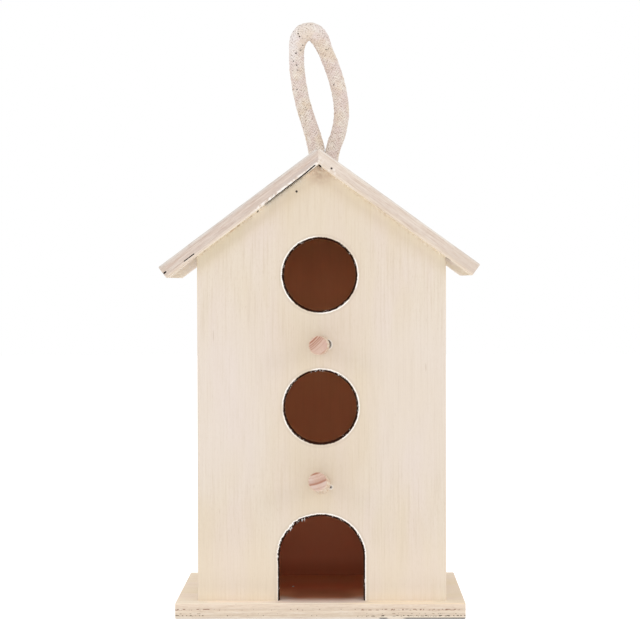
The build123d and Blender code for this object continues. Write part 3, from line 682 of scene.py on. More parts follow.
def base_extra(g, colour, height, share, is_edge):
    """The floor between the walls gets the cavity's painted shade and fades to raw wood in the doorway."""
    x, y, z = g.split(g.mm)
    floor = g.mul(g.math("GREATER_THAN", z, 7.55), g.math("LESS_THAN", g.math("ABSOLUTE", g.sub(x, 0.35)), 55.95))
    floor = g.mul(floor, g.math("LESS_THAN", y, 47.6))
    floor = g.mul(floor, g.math("MAXIMUM", g.math("GREATER_THAN", y, -46.0), g.smooth(g.math("ABSOLUTE", g.sub(x, 0.1)), 24.5, 20.0)))
    # painted shade on the floor: darker inside behind the front wall, lighter towards the back, and over a pinker sill
    # to raw wood in the doorway
    uneven = g.noise(g.join(g.mul(x, 0.5), y, 0.0), 0.22, 2.0, 0.5)
    beside = g.smooth(g.math("ABSOLUTE", x), 10.0, 21.0)
    corner = g.mul(beside, 7.0)
    at = g.sub(g.add(y, g.mul(g.sub(uneven, 0.5), 5.0)), corner)
    sill = g.mul(floor, g.smooth(at, -38.0, -50.0))
    shade = g.mix(g.smooth(at, -2.0, -40.0), (1.08, 1.06, 1.02), (0.64, 0.60, 0.60))
    deep = g.mix(1.0, cavity_shade(g), shade, "MULTIPLY")
    deep = g.mix(g.smooth(y, 2.0, 26.0), deep, g.mix(1.0, deep, (1.0, 1.32, 1.42), "MULTIPLY"))
    # painted light: the top face outside the cavity lighter, more so on the ledge in front of the front wall, a little
    # darker to the right of the right wall
    colour = g.mix(g.mul(g.math("GREATER_THAN", z, 7.3), g.sub(1.0, floor)), colour, g.mix(1.0, colour, (1.30, 1.30, 1.26), "MULTIPLY"))
    ledge = g.mul(g.mul(g.math("GREATER_THAN", z, 7.3), g.sub(1.0, floor)), g.smooth(y, -51.0, -52.5))
    colour = g.mix(g.mul(ledge, g.smooth(g.math("ABSOLUTE", x), 60.0, 54.0)), colour, g.mix(1.0, colour, (1.11, 1.10, 1.12), "MULTIPLY"))
    colour = g.mix(g.mul(g.math("GREATER_THAN", z, 7.3), g.smooth(x, 62.0, 67.0)), colour, g.mix(1.0, colour, (0.93, 0.92, 0.91), "MULTIPLY"))
    colour = g.mix(sill, colour, (0.93, 0.755, 0.64))
    colour = g.mix(g.mul(floor, g.smooth(at, -58.0, -37.0)), colour, deep)
    # painted light on the cavity floor to both sides behind the doorway, painted shade between them
    floor_light_and_shade = g.mul(g.mul(g.smooth(y, 2.0, -24.0), g.smooth(y, -44.0, -33.0)), floor)
    colour = g.mix(g.mul(floor_light_and_shade, beside), colour, g.mix(1.0, colour, (1.48, 1.72, 1.68), "MULTIPLY"))
    colour = g.mix(g.mul(floor_light_and_shade, g.sub(1.0, beside)), colour, g.mix(1.0, colour, (0.89, 0.85, 0.77), "MULTIPLY"))
    crumb = g.vec("LENGTH", g.join(g.add(x, 15.4), g.mul(g.sub(y, 2.0), 0.25), 0.0))
    colour = g.mix(g.mul(g.smooth(crumb, 0.75, 0.45), floor), colour, (1.0, 0.97, 0.93))
    # the plies on the edges, with dashed glue lines
    run = g.add(g.mul(x, g.math("GREATER_THAN", g.math("ABSOLUTE", g.split(g.normal)[1]), 0.5)),
                g.mul(y, g.math("GREATER_THAN", g.math("ABSOLUTE", g.split(g.normal)[0]), 0.5)))
    colour = layered(g, colour, share, BASE_BANDS, run, 2.0, g.mul(is_edge, 0.92), 0.38)
    orange = g.mul(g.smooth(run, 10.0, 30.0), g.smooth(g.math("ABSOLUTE", g.sub(share, 0.055)), 0.05, 0.02))
    colour = g.mix(g.mul(g.mul(orange, is_edge), 0.5), colour, wood(246, 217, 182))
    ends = g.math("MAXIMUM", g.smooth(run, -54.0, -58.0), g.smooth(run, 14.0, 30.0))
    for place, seed, tone, few, wide in ((0.40, 11.0, (128, 82, 58), 0.640, 0.030), (0.445, 17.0, (140, 92, 68), 0.625, 0.026),
                                         (0.675, 23.0, (140, 112, 88), 0.67, 0.022), (0.79, 29.0, (70, 56, 46), 0.610, 0.034),
                                         (0.83, 31.0, (108, 88, 70), 0.655, 0.028)):
        pick = g.noise(g.join(g.mul(run, 0.9), seed, g.mul(y, 0.002)), 0.62, 2.0, 0.62)
        low = g.blendf(g.mul(ends, g.math("LESS_THAN", y, -59.0)), few, few - 0.10)
        dash = g.mul(g.smooth(pick, low, g.add(low, 0.035)), g.smooth(g.math("ABSOLUTE", g.sub(share, place)), wide, wide * 0.45))
        colour = g.mix(g.mul(g.mul(dash, is_edge), 0.9), colour, wood(*tone))
    # shade of the doorway on the edge in front of it
    lip = g.mul(g.mul(g.smooth(z, 6.3, 7.2), g.math("LESS_THAN", y, -59.4)), g.smooth(g.math("ABSOLUTE", x), 20.0, 14.0))
    colour = g.mix(g.mul(lip, 0.55), colour, wood(204, 178, 158))
    # painted highlight along the front upper arris
    arris_highlight = g.mul(g.smooth(z, 6.85, 7.2), g.math("LESS_THAN", y, -59.2))
    colour = g.mix(g.mul(arris_highlight, 0.70), colour, g.mix(g.smooth(x, 0.0, 20.0), wood(254, 240, 216), wood(254, 234, 202)))
    # painted contact shadow along the lower edge at the right, with paler wood just above it
    front = g.math("LESS_THAN", y, -59.0)
    paler_strip = g.mul(g.mul(front, g.smooth(x, 28.0, 32.0)), g.mul(g.smooth(z, 1.0, 0.6), g.smooth(z, -0.1, 0.15)))
    colour = g.mix(g.mul(paler_strip, 0.6), colour, wood(250, 238, 218))
    dirt_and_shadow = g.math("MAXIMUM", g.smooth(x, 40.5, 43.0), g.mul(g.smooth(x, 28.5, 30.0), g.smooth(x, 34.0, 32.5)))
    dirt_and_shadow = g.mul(dirt_and_shadow, g.smooth(g.noise(g.join(x, 0.0, 0.0), 0.30, 2.0, 0.6), 0.28, 0.42, 0.55, 1.0))
    contact_shadow = g.mul(g.mul(g.smooth(y, -59.55, -59.70), g.smooth(z, 0.24, 0.06)), dirt_and_shadow)
    return g.mix(g.mul(contact_shadow, 0.94), colour, (0.045, 0.036, 0.030)), height, 0.0


def roof_extra(side):
    def extra(g, colour, height, share, is_edge):
        x, y, z = g.split(g.mm)
        # the cavity side of the board gets the painted shade of the inner faces
        under = g.math("GREATER_THAN", share, 0.985)
        colour = g.mix(g.mul(inside_mask(g), under), colour, cavity_shade(g))
        front = g.math("LESS_THAN", y, -57.6)
        ledge = g.mul(under, g.math("LESS_THAN", y, -51.9))
        slope = (-math.cos(LEFT_PITCH), 0, -math.sin(LEFT_PITCH)) if side == "left" else (math.cos(RIGHT_PITCH), 0, -math.sin(RIGHT_PITCH))
        along = g.vec("DOT_PRODUCT", g.vec("SUBTRACT", g.mm, (RIDGE_X, 0, RIDGE_Z)), slope)
        # painted light on the overhang's underside, which is made paler, a little less warm at the eaves
        outer = g.mul(under, g.sub(1.0, inside_mask(g)))
        colour = g.mix(outer, colour, g.mix(1.0, colour, (1.30, 1.31, 1.27), "MULTIPLY"))
        eave = g.mul(outer, g.math("GREATER_THAN", g.math("ABSOLUTE", g.sub(x, 0.35)), 62.6))
        colour = g.mix(eave, colour, g.mix(1.0, colour, (0.955, 0.995, 1.06), "MULTIPLY"))
        if side == "left":
            colour = layered(g, colour, share, LEFT_BANDS, along, 4.0, g.mul(is_edge, 0.92), 0.50, 0.972)
            # greyer near the ridge, painted highlight patches above a cleft at the lower edge, whose shade is painted
            # dark
            dim = g.mul(g.smooth(along, 36.0, 20.0), g.mul(g.smooth(share, 0.50, 0.62), g.smooth(share, 0.80, 0.74)))
            colour = g.mix(g.mul(g.mul(dim, front), 0.35), colour, wood(200, 188, 182))
            pale_highlight = g.smooth(g.noise(g.mm, 0.50, 3.0, 0.65), 0.43, 0.56)
            bright = g.mul(g.mul(g.smooth(share, 0.74, 0.84), g.smooth(along, 50.0, 38.0)), front)
            colour = g.mix(g.mul(g.mul(bright, pale_highlight), 0.75), colour, (0.93, 0.905, 0.875))
            # painted highlight along the lower arris
            arris_highlight = g.mul(g.mul(g.smooth(share, 0.91, 0.96), g.smooth(along, 84.0, 76.0)), g.math("MAXIMUM", front, is_edge))
            colour = g.mix(g.mul(arris_highlight, 0.60), colour, wood(250, 240, 224))
            flaw = g.mul(g.mul(g.smooth(g.noise(g.mm, 0.9, 2.0, 0.6), 0.60, 0.68), g.smooth(along, 46.0, 38.0)), g.smooth(share, 0.68, 0.78))
            colour = g.mix(g.mul(g.mul(flaw, front), 0.55), colour, wood(176, 156, 142))
            # the hollow core and the open end: painted shade inside them
            bridge = g.smooth(g.math("ABSOLUTE", g.sub(along, 85.6)), 0.30, 0.50)
            hollow = g.mul(g.smooth(g.math("ABSOLUTE", g.sub(along, 85.1)), 3.9, 3.6),
                           g.smooth(g.math("ABSOLUTE", g.sub(share, 0.7786)), 0.055, 0.045))
            end = g.mul(g.math("GREATER_THAN", along, 98.2), g.smooth(g.math("ABSOLUTE", g.sub(share, 0.600)), 0.075, 0.065))
            inside = g.mul(g.math("GREATER_THAN", y, -57.97), g.math("LESS_THAN", y, -56.2))
            end = g.mul(end, g.math("LESS_THAN", along, 100.3))
            hollow = g.mul(g.math("MAXIMUM", g.mul(hollow, bridge), end), inside)
            colour = g.mix(hollow, colour, (0.018, 0.012, 0.010))
            tail = g.mul(g.mul(g.smooth(along, 94.0, 99.0), front), g.smooth(g.noise(g.mm, 0.9, 2.0, 0.6), 0.45, 0.62))
            colour = g.mix(g.mul(tail, 0.4), colour, wood(196, 182, 162))
            # painted shadow: the cleft along the lower arris and, on the ledge, the gap over the front wall
            cleft = g.blendf(g.smooth(along, 6.5, 15.0), 0.895, g.blendf(g.smooth(along, 15.0, 39.0), 0.962, 0.985))
            rough_line = g.mul(g.sub(g.noise(g.mm, 0.8, 2.0, 0.6), 0.5), 0.035)
            body = g.mul(g.smooth(along, 6.2, 6.9), g.smooth(along, 40.0, 37.5))
            wide = g.blendf(g.smooth(along, 40.0, 26.0), 0.034, g.blendf(g.smooth(along, 24.0, 14.0), 0.054, 0.062))
            line_mask = g.mul(body, g.smooth(g.math("ABSOLUTE", g.sub(g.add(share, rough_line), cleft)), wide, g.mul(wide, 0.6)))
            crumbs = g.mul(g.mul(g.smooth(along, 39.0, 41.0), g.smooth(along, 58.0, 50.0)), g.smooth(g.noise(g.join(along, 0.0, 0.0), 0.55, 1.0, 0.5), 0.58, 0.64))
            line_mask = g.math("MAXIMUM", line_mask, g.mul(g.mul(crumbs, g.smooth(share, 0.965, 0.985)), 0.7))
            strip = g.mul(g.mul(ledge, g.smooth(along, 14.0, 16.0)), g.smooth(along, 39.5, 38.0))
            strip = g.mul(strip, g.smooth(g.add(y, g.mul(g.sub(g.noise(g.mm, 0.25, 1.0, 0.5), 0.5), 1.0)), -54.8, -53.8))
            gap_shade = g.math("MAXIMUM", g.mul(line_mask, g.math("MAXIMUM", front, is_edge)), strip)
            gap_shade = g.mul(gap_shade, g.math("LESS_THAN", y, -51.9))
            spots = ()
        else:
            colour = layered(g, colour, share, RIGHT_BANDS, along, 9.0, g.mul(is_edge, 0.92), 0.46, 0.970)
            colour = g.mix(g.mul(g.mul(g.smooth(along, 76.0, 92.0), is_edge), g.mul(g.smooth(share, 0.84, 0.78), 0.35)), colour, wood(212, 196, 180))
            colour = g.mix(g.mul(g.mul(g.smooth(along, 34.0, 14.0), is_edge), 0.20), colour, wood(246, 234, 220))
            hollow = 0.0
            # painted shadow: the short end of the cleft on this board
            dash = g.mul(g.smooth(along, 5.0, 5.4), g.smooth(along, 7.2, 6.7))
            dash = g.mul(dash, g.smooth(share, 0.93, 0.955))
            gap_shade = g.mul(g.mul(dash, g.math("LESS_THAN", y, -51.9)), g.math("MAXIMUM", g.math("MAXIMUM", front, is_edge), ledge))
            corner = g.vec("LENGTH", g.join(g.sub(x, 64.2), g.mul(g.add(y, 53.5), 0.35), 0.0))
            corner = g.add(corner, g.mul(g.sub(g.noise(g.mm, 0.9, 2.0, 0.6), 0.5), 1.6))
            colour = g.mix(g.mul(g.mul(g.smooth(corner, 1.9, 0.8), outer), 0.62), colour, wood(108, 92, 72))
            pale = g.mul(g.smooth(g.vec("LENGTH", g.join(g.add(x, 0.6), 0.0, g.sub(z, 229.6))), 3.0, 1.2), g.smooth(g.noise(g.mm, 0.7, 2.0, 0.6), 0.42, 0.54))
            colour = g.mix(g.mul(g.mul(pale, front), 0.30), colour, (0.90, 0.87, 0.83))
            spots = ((5.6, 225.9, 0.66),)
            for fx, fz, r in ((6.9, 225.2, 0.8), (7.3, 223.3, 0.9), (4.3, 224.9, 0.7)):
                fleck = g.vec("LENGTH", g.join(g.sub(x, fx), 0.0, g.sub(z, fz)))
                colour = g.mix(g.mul(g.mul(g.smooth(fleck, r, r * 0.5), front), 0.28), colour, (0.94, 0.92, 0.89))
        # the painted shadow of the clefts and gaps
        colour = g.mix(gap_shade, colour, (0.012, 0.008, 0.006))
        matte = g.math("MAXIMUM", gap_shade, hollow)
        for sx, sz, r in spots:
            away = g.vec("LENGTH", g.join(g.sub(x, sx), 0.0, g.sub(z, sz)))
            pit = g.mul(g.mul(g.smooth(away, r, r * 0.6), front), 0.95)
            matte = g.math("MAXIMUM", matte, pit)
            colour = g.mix(pit, colour, (0.022, 0.016, 0.013))
        return colour, height, matte
    return extra


def dowel(name, start, out, turn, rings, blush, seed):
    """Softwood dowel: growth rings on the end, long grain on the side. rings: (place in mm, width, strength)."""
    g = Graph(name)
    out = Vector(out).normalized()
    right = Vector((0, 0, 1)).cross(out).normalized()
    up = out.cross(right)
    rel = g.vec("SUBTRACT", g.mm, start)
    u = g.vec("DOT_PRODUCT", rel, tuple(right))
    v = g.vec("DOT_PRODUCT", rel, tuple(up))
    w = g.vec("DOT_PRODUCT", rel, tuple(out))
    ct, st = math.cos(math.radians(turn)), math.sin(math.radians(turn))
    along = g.add(g.mul(u, ct), g.mul(v, st))
    q = g.add(g.mul(u, -st), g.mul(v, ct))
    q = g.sub(q, g.mul(g.mul(along, along), 0.022))
    wobble = g.noise(g.join(g.mul(along, 0.6), q, seed), 0.55, 2.0, 0.5)
    q = g.add(q, g.mul(g.sub(wobble, 0.5), 0.55))
    dark = None
    for place, wide, strong in rings:
        one = g.mul(g.smooth(g.math("ABSOLUTE", g.sub(q, place)), wide, wide * 0.25), strong)
        dark = one if dark is None else g.math("MAXIMUM", dark, one)
    is_end = g.smooth(g.math("ABSOLUTE", g.vec("DOT_PRODUCT", g.normal, tuple(out))), 0.6, 0.85)
    pores = g.noise(g.join(u, v, seed), 3.2, 2.0, 0.6)
    end = g.mix(g.smooth(pores, 0.35, 0.7), wood(222, 192, 174), wood(208, 172, 152))
    end = g.mix(g.smooth(g.noise(g.join(u, v, seed + 5.0), 0.16, 1.0, 0.5), 0.4, 0.65), end, blush)
    end = g.mix(dark, end, wood(172, 116, 90))
    far = g.vec("LENGTH", g.join(u, v, 0.0))
    end = g.mix(g.mul(g.smooth(far, 3.9, 4.6), 0.40), end, wood(190, 140, 112))
    streak = g.noise(g.join(u, v, g.mul(w, 0.05)), 1.1, 4.0, 0.6)
    side = g.mix(g.smooth(streak, 0.38, 0.66), wood(243, 228, 208), wood(226, 198, 170))
    side = g.mix(g.mul(dark, 0.45), side, wood(206, 160, 126))
    flecks = g.noise(g.join(u, v, g.mul(w, 0.12)), 2.4, 1.0, 0.5)
    side = g.mix(g.mul(g.smooth(flecks, 0.68, 0.76), 0.4), side, wood(170, 124, 92))
    colour = g.mix(is_end, side, end)
    height = g.blendf(is_end, g.sub(streak, g.mul(flecks, 0.3)), g.sub(pores, g.mul(dark, 0.5)))
    normal = g.bump(height, 0.4, 0.00010)
    return g.finish(colour, g.smooth(streak, 0.2, 0.8, 0.52, 0.68), normal, 0.35)


def cotton(name, shade):
    """Raw cotton yarn: fine twist along each strand, soft mottling, a little fuzz."""
    g = Graph(name)
    uv = g.tree.nodes.new("ShaderNodeUVMap")
    uv.uv_map = "strand"
    u, v, _ = g.split(uv.outputs[0])
    twist = g.math("SINE", g.add(g.mul(u, 9.5), g.mul(v, 37.7)))
    fibre = g.noise(g.join(g.mul(u, 1.0), g.mul(v, 9.0), 0.0), 2.4, 3.0, 0.65)
    lint = g.noise(g.mm, 4.5, 3.0, 0.7)
    relief_uv = g.tree.nodes.new("ShaderNodeUVMap")
    relief_uv.uv_map = "relief"
    relief, tag, _ = g.split(relief_uv.outputs[0])
    mottle = g.noise(g.mm, 0.16, 2.0, 0.5)
    mottle2 = g.noise(g.vec("ADD", g.mm, (30.0, 0.0, 0.0)), 0.11, 2.0, 0.5)
    tone = g.mix(g.smooth(mottle, 0.38, 0.62), yarn(240, 229, 214), yarn(233, 216, 206))
    tone = g.mix(g.mul(g.smooth(mottle2, 0.46, 0.64), 0.75), tone, yarn(236, 218, 192))
    blot = g.noise(g.vec("ADD", g.mm, (0.0, 11.0, 50.0)), 0.42, 2.0, 0.6)
    tone = g.mix(g.mul(g.smooth(blot, 0.50, 0.66), 0.42), tone, yarn(214, 192, 174))
    tone = g.mix(g.mul(g.smooth(blot, 0.46, 0.32), 0.55), tone, yarn(250, 241, 226))
    tone = g.mix(g.mul(g.smooth(tag, 0.4, 1.0), 0.35), tone, yarn(225, 207, 193))
    tone = g.mix(g.mul(g.smooth(fibre, 0.5, 0.75), 0.20), tone, yarn(212, 192, 176))
    tone = g.mix(g.mul(g.smooth(twist, 0.3, 1.0), 0.09), tone, yarn(206, 186, 168))
    tone = g.mix(g.mul(g.smooth(lint, 0.56, 0.72), 0.24), tone, yarn(250, 246, 240))
    uneven = g.smooth(g.noise(g.mm, 0.55, 2.0, 0.7), 0.34, 0.66, 0.12, 1.0)
    # painted shade in the crevices between the yarns, where the relief is low
    tone = g.mix(g.mul(g.smooth(relief, 0.72, 0.30), g.mul(uneven, 0.19)), tone, yarn(188, 164, 144))
    tone = g.mix(g.mul(g.smooth(relief, 0.30, 0.02), g.mul(uneven, 0.33)), tone, yarn(132, 108, 90))
    x, y, z = g.split(g.mm)
    more = g.smooth(g.noise(g.mm, 0.09, 1.0, 0.5), 0.35, 0.60)
    more = g.mul(more, g.smooth(x, 4.0, -6.0, 0.45, 1.0))
    # frayed and bleached at the upper left, with a few soiled specks
    frayed = g.mul(g.smooth(x, -3.0, -9.0), g.smooth(z, 278.0, 292.0))
    front = g.smooth(y, 1.0, -4.0)
    more = g.math("MAXIMUM", more, g.mul(frayed, front))
    tone = g.mix(g.mul(frayed, g.smooth(x, -10.0, -15.0, 0.10, 0.45)), tone, yarn(245, 240, 240))
    # painted light: the top of the loop lighter
    tone = g.mix(g.mul(g.smooth(z, 294.0, 304.0), 0.30), tone, yarn(247, 241, 235))
    dirt_and_shadow = 0.0
    for sx, sz, r in ((-12.0, 299.0, 0.50), (-11.2, 297.4, 0.60), (-9.5, 293.0, 0.50), (-10.8, 290.4, 0.60), (-13.1, 288.8, 0.65),
                      (-14.4, 284.6, 0.45), (-12.8, 282.5, 0.55), (-12.5, 279.8, 0.40), (-12.6, 269.8, 0.50), (2.6, 290.7, 0.55), (6.7, 272.3, 0.50)):
        away = g.vec("LENGTH", g.join(g.sub(x, sx), 0.0, g.mul(g.sub(z, sz), 1.2)))
        away = g.add(away, g.mul(g.sub(g.noise(g.mm, 1.6, 1.0, 0.5), 0.5), 0.7))
        dirt_and_shadow = g.math("MAXIMUM", dirt_and_shadow, g.smooth(away, r, r * 0.5))
    tone = g.mix(g.mul(g.mul(dirt_and_shadow, front), 0.90), tone, yarn(56, 42, 34))
    speck = g.smooth(g.noise(g.vec("ADD", g.mm, (9.0, 4.0, 0.0)), 1.35, 1.0, 0.5), g.blendf(more, 0.755, 0.690), g.blendf(more, 0.785, 0.720))
    tone = g.mix(g.mul(speck, 0.85), tone, yarn(74, 58, 50))
    pale = g.smooth(g.noise(g.mm, 0.9, 2.0, 0.6), 0.56, 0.68)
    tone = g.mix(g.mul(pale, 0.26), tone, yarn(248, 242, 233))
    if shade:
        tone = g.mix(g.mul(uneven, shade), tone, yarn(64, 48, 40))
    height = g.add(g.mul(twist, 0.35), g.add(fibre, g.mul(lint, 0.6)))
    normal = g.bump(height, 0.4, 0.00010)
    g.bsdf.inputs["Sheen Weight"].default_value = 0.12
    g.bsdf.inputs["Sheen Roughness"].default_value = 0.45
    g.bsdf.inputs["Sheen Tint"].default_value = (1.0, 0.97, 0.92, 1.0)
    return g.finish(tone, g.smooth(fibre, 0.2, 0.8, 0.80, 0.95), normal, 0.15)


def brad_metal():
    g = Graph("brad_steel")
    scratch = g.noise(g.mm, 2.2, 3.0, 0.65)
    dull = g.noise(g.mm, 0.9, 2.0, 0.5)
    colour = g.mix(g.smooth(scratch, 0.35, 0.7), (0.50, 0.49, 0.47), (0.34, 0.32, 0.30))
    colour = g.mix(g.mul(g.smooth(dull, 0.55, 0.75), 0.5), colour, (0.26, 0.19, 0.14))
    g.bsdf.inputs["Metallic"].default_value = 1.0
    return g.finish(colour, g.smooth(scratch, 0.3, 0.7, 0.32, 0.55), g.bump(scratch, 0.3, 0.00004), 0.5)


rope_mat = cotton("cotton_rope", 0.0)
rope_core = cotton("cotton_core", 0.20)

ls, lc = math.sin(LEFT_PITCH), math.cos(LEFT_PITCH)
rs, rc = math.sin(RIGHT_PITCH), math.cos(RIGHT_PITCH)
boards = {
    "front_wall": plywood("ply_front", (0, FRONT_Y, 0), (0, 0, 1), (1, 0, 0), (0, 1, 0), PLY, THREE_PLY, THREE_TONES, 1.0, front_extra),
    "back_wall": plywood("ply_back", (0, BACK_Y, 0), (0, 0, 1), (1, 0, 0), (0, -1, 0), PLY, THREE_PLY, THREE_TONES, 2.3, inner_faces),
    "left_wall": plywood("ply_left", (-62.5, 0, 0), (0, 0, 1), (0, 1, 0), (1, 0, 0), PLY, THREE_PLY, THREE_TONES, 3.1, inner_faces),
    "right_wall": plywood("ply_right", (63.2, 0, 0), (0, 0, 1), (0, 1, 0), (-1, 0, 0), PLY, THREE_PLY, THREE_TONES, 4.7, inner_faces),
    "base_board": plywood("ply_base", (0, 0, 7.6), (1, 0, 0), (0, 1, 0), (0, 0, -1), 8.1, BASE_PLY, BASE_TONES, 5.9, base_extra),
    "left_roof_board": plywood("ply_roof_left", (RIDGE_X, 0, RIDGE_Z), (0, 1, 0), (-lc, 0, -ls), (ls, 0, -lc), PLY,
                               ROOF_PLY, ROOF_TONES, 6.4, roof_extra("left")),
    "right_roof_board": plywood("ply_roof_right", (RIDGE_X, 0, RIDGE_Z), (0, 1, 0), (rc, 0, -rs), (-rs, 0, -rc), PLY,
                                ROOF_PLY, ROOF_TONES, 7.2, roof_extra("right")),
}


def perch_out(rise, left):
    return (-math.tan(math.radians(left)), -1.0, math.tan(math.radians(rise)))


boards["upper_perch"] = dowel(
    "dowel_upper", (-0.3, FRONT_Y, 136.9), perch_out(1.6, 1.9), 43.0,
    ((0.45, 0.45, 0.62), (1.40, 0.42, 0.78), (2.3, 0.45, 0.95), (3.45, 0.60, 1.0), (-1.2, 0.35, 0.25), (-4.5, 0.8, 0.70)),
    wood(212, 176, 160), 3.0,
)
boards["lower_perch"] = dowel(
    "dowel_lower", (0, FRONT_Y, 66.6), perch_out(8.2, 3.7), 18.0,
    ((-0.55, 1.25, 0.55), (-0.80, 0.75, 0.90), (0.6, 0.9, 0.30), (4.15, 0.75, 1.0), (2.4, 0.35, 0.25), (-3.3, 0.4, 0.30)),
    wood(222, 198, 184), 8.0,
)
steel = brad_metal()
boards.update(roof_brads=steel, back_brads=steel, base_brads=steel)
for node, material in boards.items():
    data = nodes[node].data
    data.materials.clear()
    data.materials.append(material)

# -------------------------------------------------- torn fibres at the rims
def torn_fibres(rng):
    """Short slivers of face veneer that hang over the sawn rims, with the grain, where it tore most."""
    soup = Soup()
    arcs = (
        # middle x, z, radius, from and to degrees, how many, longest
        (0.1, 29.7, 21.3, 112.5, 117.5, 7, 1.5), (0.1, 29.7, 21.3, 118.0, 132.0, 5, 0.8), (0.1, 29.7, 21.3, 132.5, 138.0, 8, 1.6),
        (0.1, 29.7, 21.3, 176.0, 184.0, 5, 1.4), (0.1, 29.7, 21.3, 20.0, 40.0, 4, 0.8),
        (-0.5, 173.0, 18.15, 35.0, 62.0, 6, 0.8), (-0.5, 173.0, 18.15, 118.0, 165.0, 7, 0.8),
        (-0.1, 106.1, 18.15, 130.0, 165.0, 9, 1.0), (-0.1, 106.1, 18.15, 84.0, 112.0, 7, 1.0), (-0.1, 106.1, 18.15, 48.0, 66.0, 6, 0.8),
        (-0.1, 106.1, 18.15, 215.0, 250.0, 6, 0.7), (-0.1, 106.1, 18.15, -8.0, 14.0, 4, 0.9),
    )
    roots = []
    for cx, cz, r, a0, a1, number, longest in arcs:
        for _ in range(number):
            a = math.radians(rng.uniform(a0, a1))
            far = r + rng.uniform(0.35, 1.15)
            roots.append((cx + far * math.cos(a), cz + far * math.sin(a), -math.copysign(1.0, math.sin(a)), rng.uniform(0.45, 1.0) * longest))
    roots += [(21.9, 18.9, -1.0, 1.5), (22.0, 18.0, -1.0, 1.0)]
    for x, z, way, long in roots:
        q = np.linspace(0.0, 1.0, 5)
        lean, curl = rng.normal() * 0.16, rng.uniform(-0.05, 0.22)
        path = np.stack([x + lean * long * q, -52.03 - curl * q**2, z + way * long * q], 1) / 1000.0
        half_w = rng.uniform(0.06, 0.16) / 1000.0 * (1.0 - 0.75 * q**1.5)
        half_t = 0.035 / 1000.0
        square = np.array([(-1, -1), (1, -1), (1, 1), (-1, 1)], float)
        rings = path[:, None, :] + np.stack(
            [square[None, :, 0] * half_w[:, None], np.broadcast_to(square[None, :, 1] * half_t, (5, 4)), np.zeros((5, 4))], -1)
        soup.tube(rings, 0, q, np.arange(4) / 4.0, 1.0, rng.random())
    return soup.mesh("torn_fibres")


def fibre_wood():
    g = Graph("fibre_wood")
    tone = g.mix(g.smooth(g.noise(g.mm, 1.1, 2.0, 0.6), 0.40, 0.62), (0.95, 0.93, 0.90), wood(240, 226, 210))
    tone = g.mix(g.smooth(g.noise(g.vec("ADD", g.mm, (7.0, 0.0, 3.0)), 0.8, 2.0, 0.6), 0.58, 0.68), tone, (0.10, 0.055, 0.035))
    return g.finish(tone, 0.75, None, 0.1)


fibres = add("torn_fibres", torn_fibres(np.random.default_rng(11)), (fibre_wood(),))
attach(fibres, "box")

# ------------------------------------------------------------- rope geometry
rng = np.random.default_rng(7)
line = spline_points(loop_route)
s = along_of(line)
top = s[int(np.argmax(line[:, 2]))]
# The cotton is looser above the roof, flattened and thickest in the fold, and thick again at the left foot.
free = np.clip((line[:, 2] - 0.2390) / 0.006, 0.0, 1.0)
swell = 1.0 + 0.045 * free * free * (3 - 2 * free)
swell += 0.26 * np.exp(-(((s - top) / 0.0110) ** 4))
swell += (0.17 * np.exp(-(((line[:, 2] - 0.2400) / 0.0060) ** 2)) + 0.045 * np.exp(-(((line[:, 2] - 0.2520) / 0.0080) ** 2))) * (s < top)
swell += 0.035 * np.exp(-(((line[:, 2] - 0.2800) / 0.012) ** 2)) * (s > top)
fine = np.arange(0.0, s[-1] + 1e-9, s[-1] / 470)
soup = Soup()
braid(soup, np.stack([np.interp(fine, s, line[:, k]) for k in range(3)], 1), rng, swell=np.interp(fine, s, swell))
hairs(soup, line, rng, 420)
rope = add("braided_rope", soup.mesh("braided_rope"), (rope_mat, rope_core))
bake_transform(rope)
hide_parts("rope_loop", "rope_legs")

# The knot under the ridge: the rope wound round its own two legs and pulled tight.
MID_X, ROPE_Y = 0.00175, -0.0020
knot_route = []
for k in range(17):
    q = k / 16
    a = 2 * math.pi * 2.15 * q + 0.6
    r = 0.0086 - 0.0040 * (abs(2 * q - 1) ** 6)
    knot_route.append((MID_X + r * math.cos(a), ROPE_Y + r * math.sin(a), 0.2146 - 0.0082 * q))
soup = Soup()
knot_line = spline_points(knot_route, 14)
braid(soup, knot_line[::2], rng, per_way=8, sides=8)
for x in (MID_X - 0.0040, MID_X + 0.0040):
    braid(soup, spline_points([(x, ROPE_Y, 0.2180), (x, ROPE_Y, 0.2105), (x, ROPE_Y, 0.2035)], 20)[::2], rng, per_way=6, sides=8)
knot = add("braided_knot", soup.mesh("braided_knot"), (rope_mat, rope_core))
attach(knot, "box")
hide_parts("rope_knot")

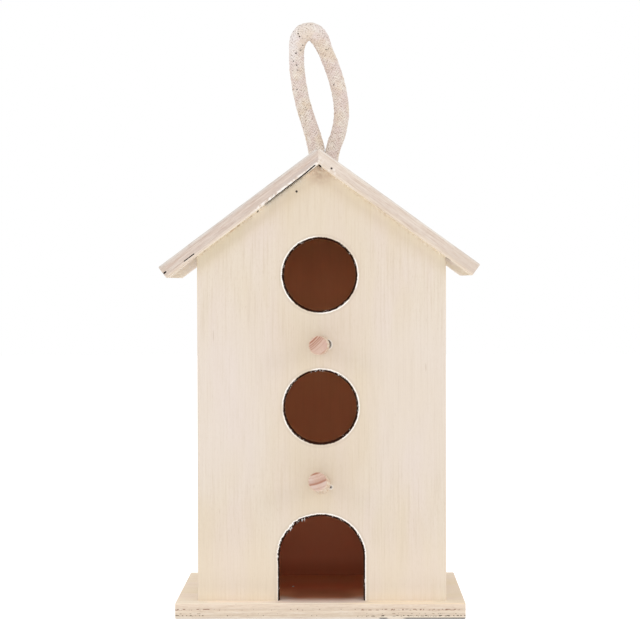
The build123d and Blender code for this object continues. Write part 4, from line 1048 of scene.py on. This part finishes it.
soup = Soup()
for x, lean in ((MID_X - 0.0042, -0.0006), (MID_X + 0.0042, 0.0005)):
    tail = spline_points([(x, ROPE_Y, 0.2039), (x, ROPE_Y, 0.2010), (x + lean, ROPE_Y - 0.0003, 0.1950)], 24)
    braid(soup, tail, rng, per_way=12, flare=0.16)
tails = add("braided_tails", soup.mesh("braided_tails"), (rope_mat, rope_core))
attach(tails, "box")
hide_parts("rope_tails")


# ------------------------------------------------------------ stage and light
def make_stage():
    g = Graph("pale_floor")
    patch = g.noise(g.mm, 0.004, 2.0, 0.5)
    tone = g.mix(patch, (0.80, 0.80, 0.80), (0.84, 0.84, 0.84))
    g.bsdf.inputs["Emission Color"].default_value = (1.0, 1.0, 1.0, 1.0)
    g.bsdf.inputs["Emission Strength"].default_value = 0.62
    material = g.finish(g.mix(0.5, tone, (0.42, 0.42, 0.42)), 0.9, None, 0.0)
    ring = 64
    verts = [(4.0 * math.cos(2 * math.pi * k / ring), 4.0 * math.sin(2 * math.pi * k / ring), -0.0002) for k in range(ring)]
    data = bpy.data.meshes.new("floor")
    data.from_pydata(verts, [], [list(range(ring))])
    floor = add("floor", data, (material,))


def area_light(name, place, target, size, power, colour=(1.0, 1.0, 1.0)):
    data = bpy.data.lights.new(name, "AREA")
    data.shape = "DISK"
    data.size = size
    data.energy = power
    data.color = colour
    ob = bpy.data.objects.new(name, data)
    ob.location = place
    ob.rotation_mode = "QUATERNION"
    ob.rotation_quaternion = (Vector(target) - Vector(place)).to_track_quat("-Z", "Y")
    scene.collection.objects.link(ob)


make_stage()
world = bpy.data.worlds.new("world")
world.use_nodes = True
world.node_tree.nodes["Background"].inputs[0].default_value = (1.0, 1.0, 1.0, 1.0)
world.node_tree.nodes["Background"].inputs[1].default_value = 1.0
scene.world = world
for name, azimuth in (("soft_left", -44.0), ("soft_right", 44.0)):
    a, e, far = math.radians(azimuth), math.radians(17.0), 1.3
    place = (far * math.sin(a) * math.cos(e), -far * math.cos(a) * math.cos(e), 0.12 + far * math.sin(e))
    area_light(name, place, (0.0, -0.05, 0.12), 0.42, 1.3)
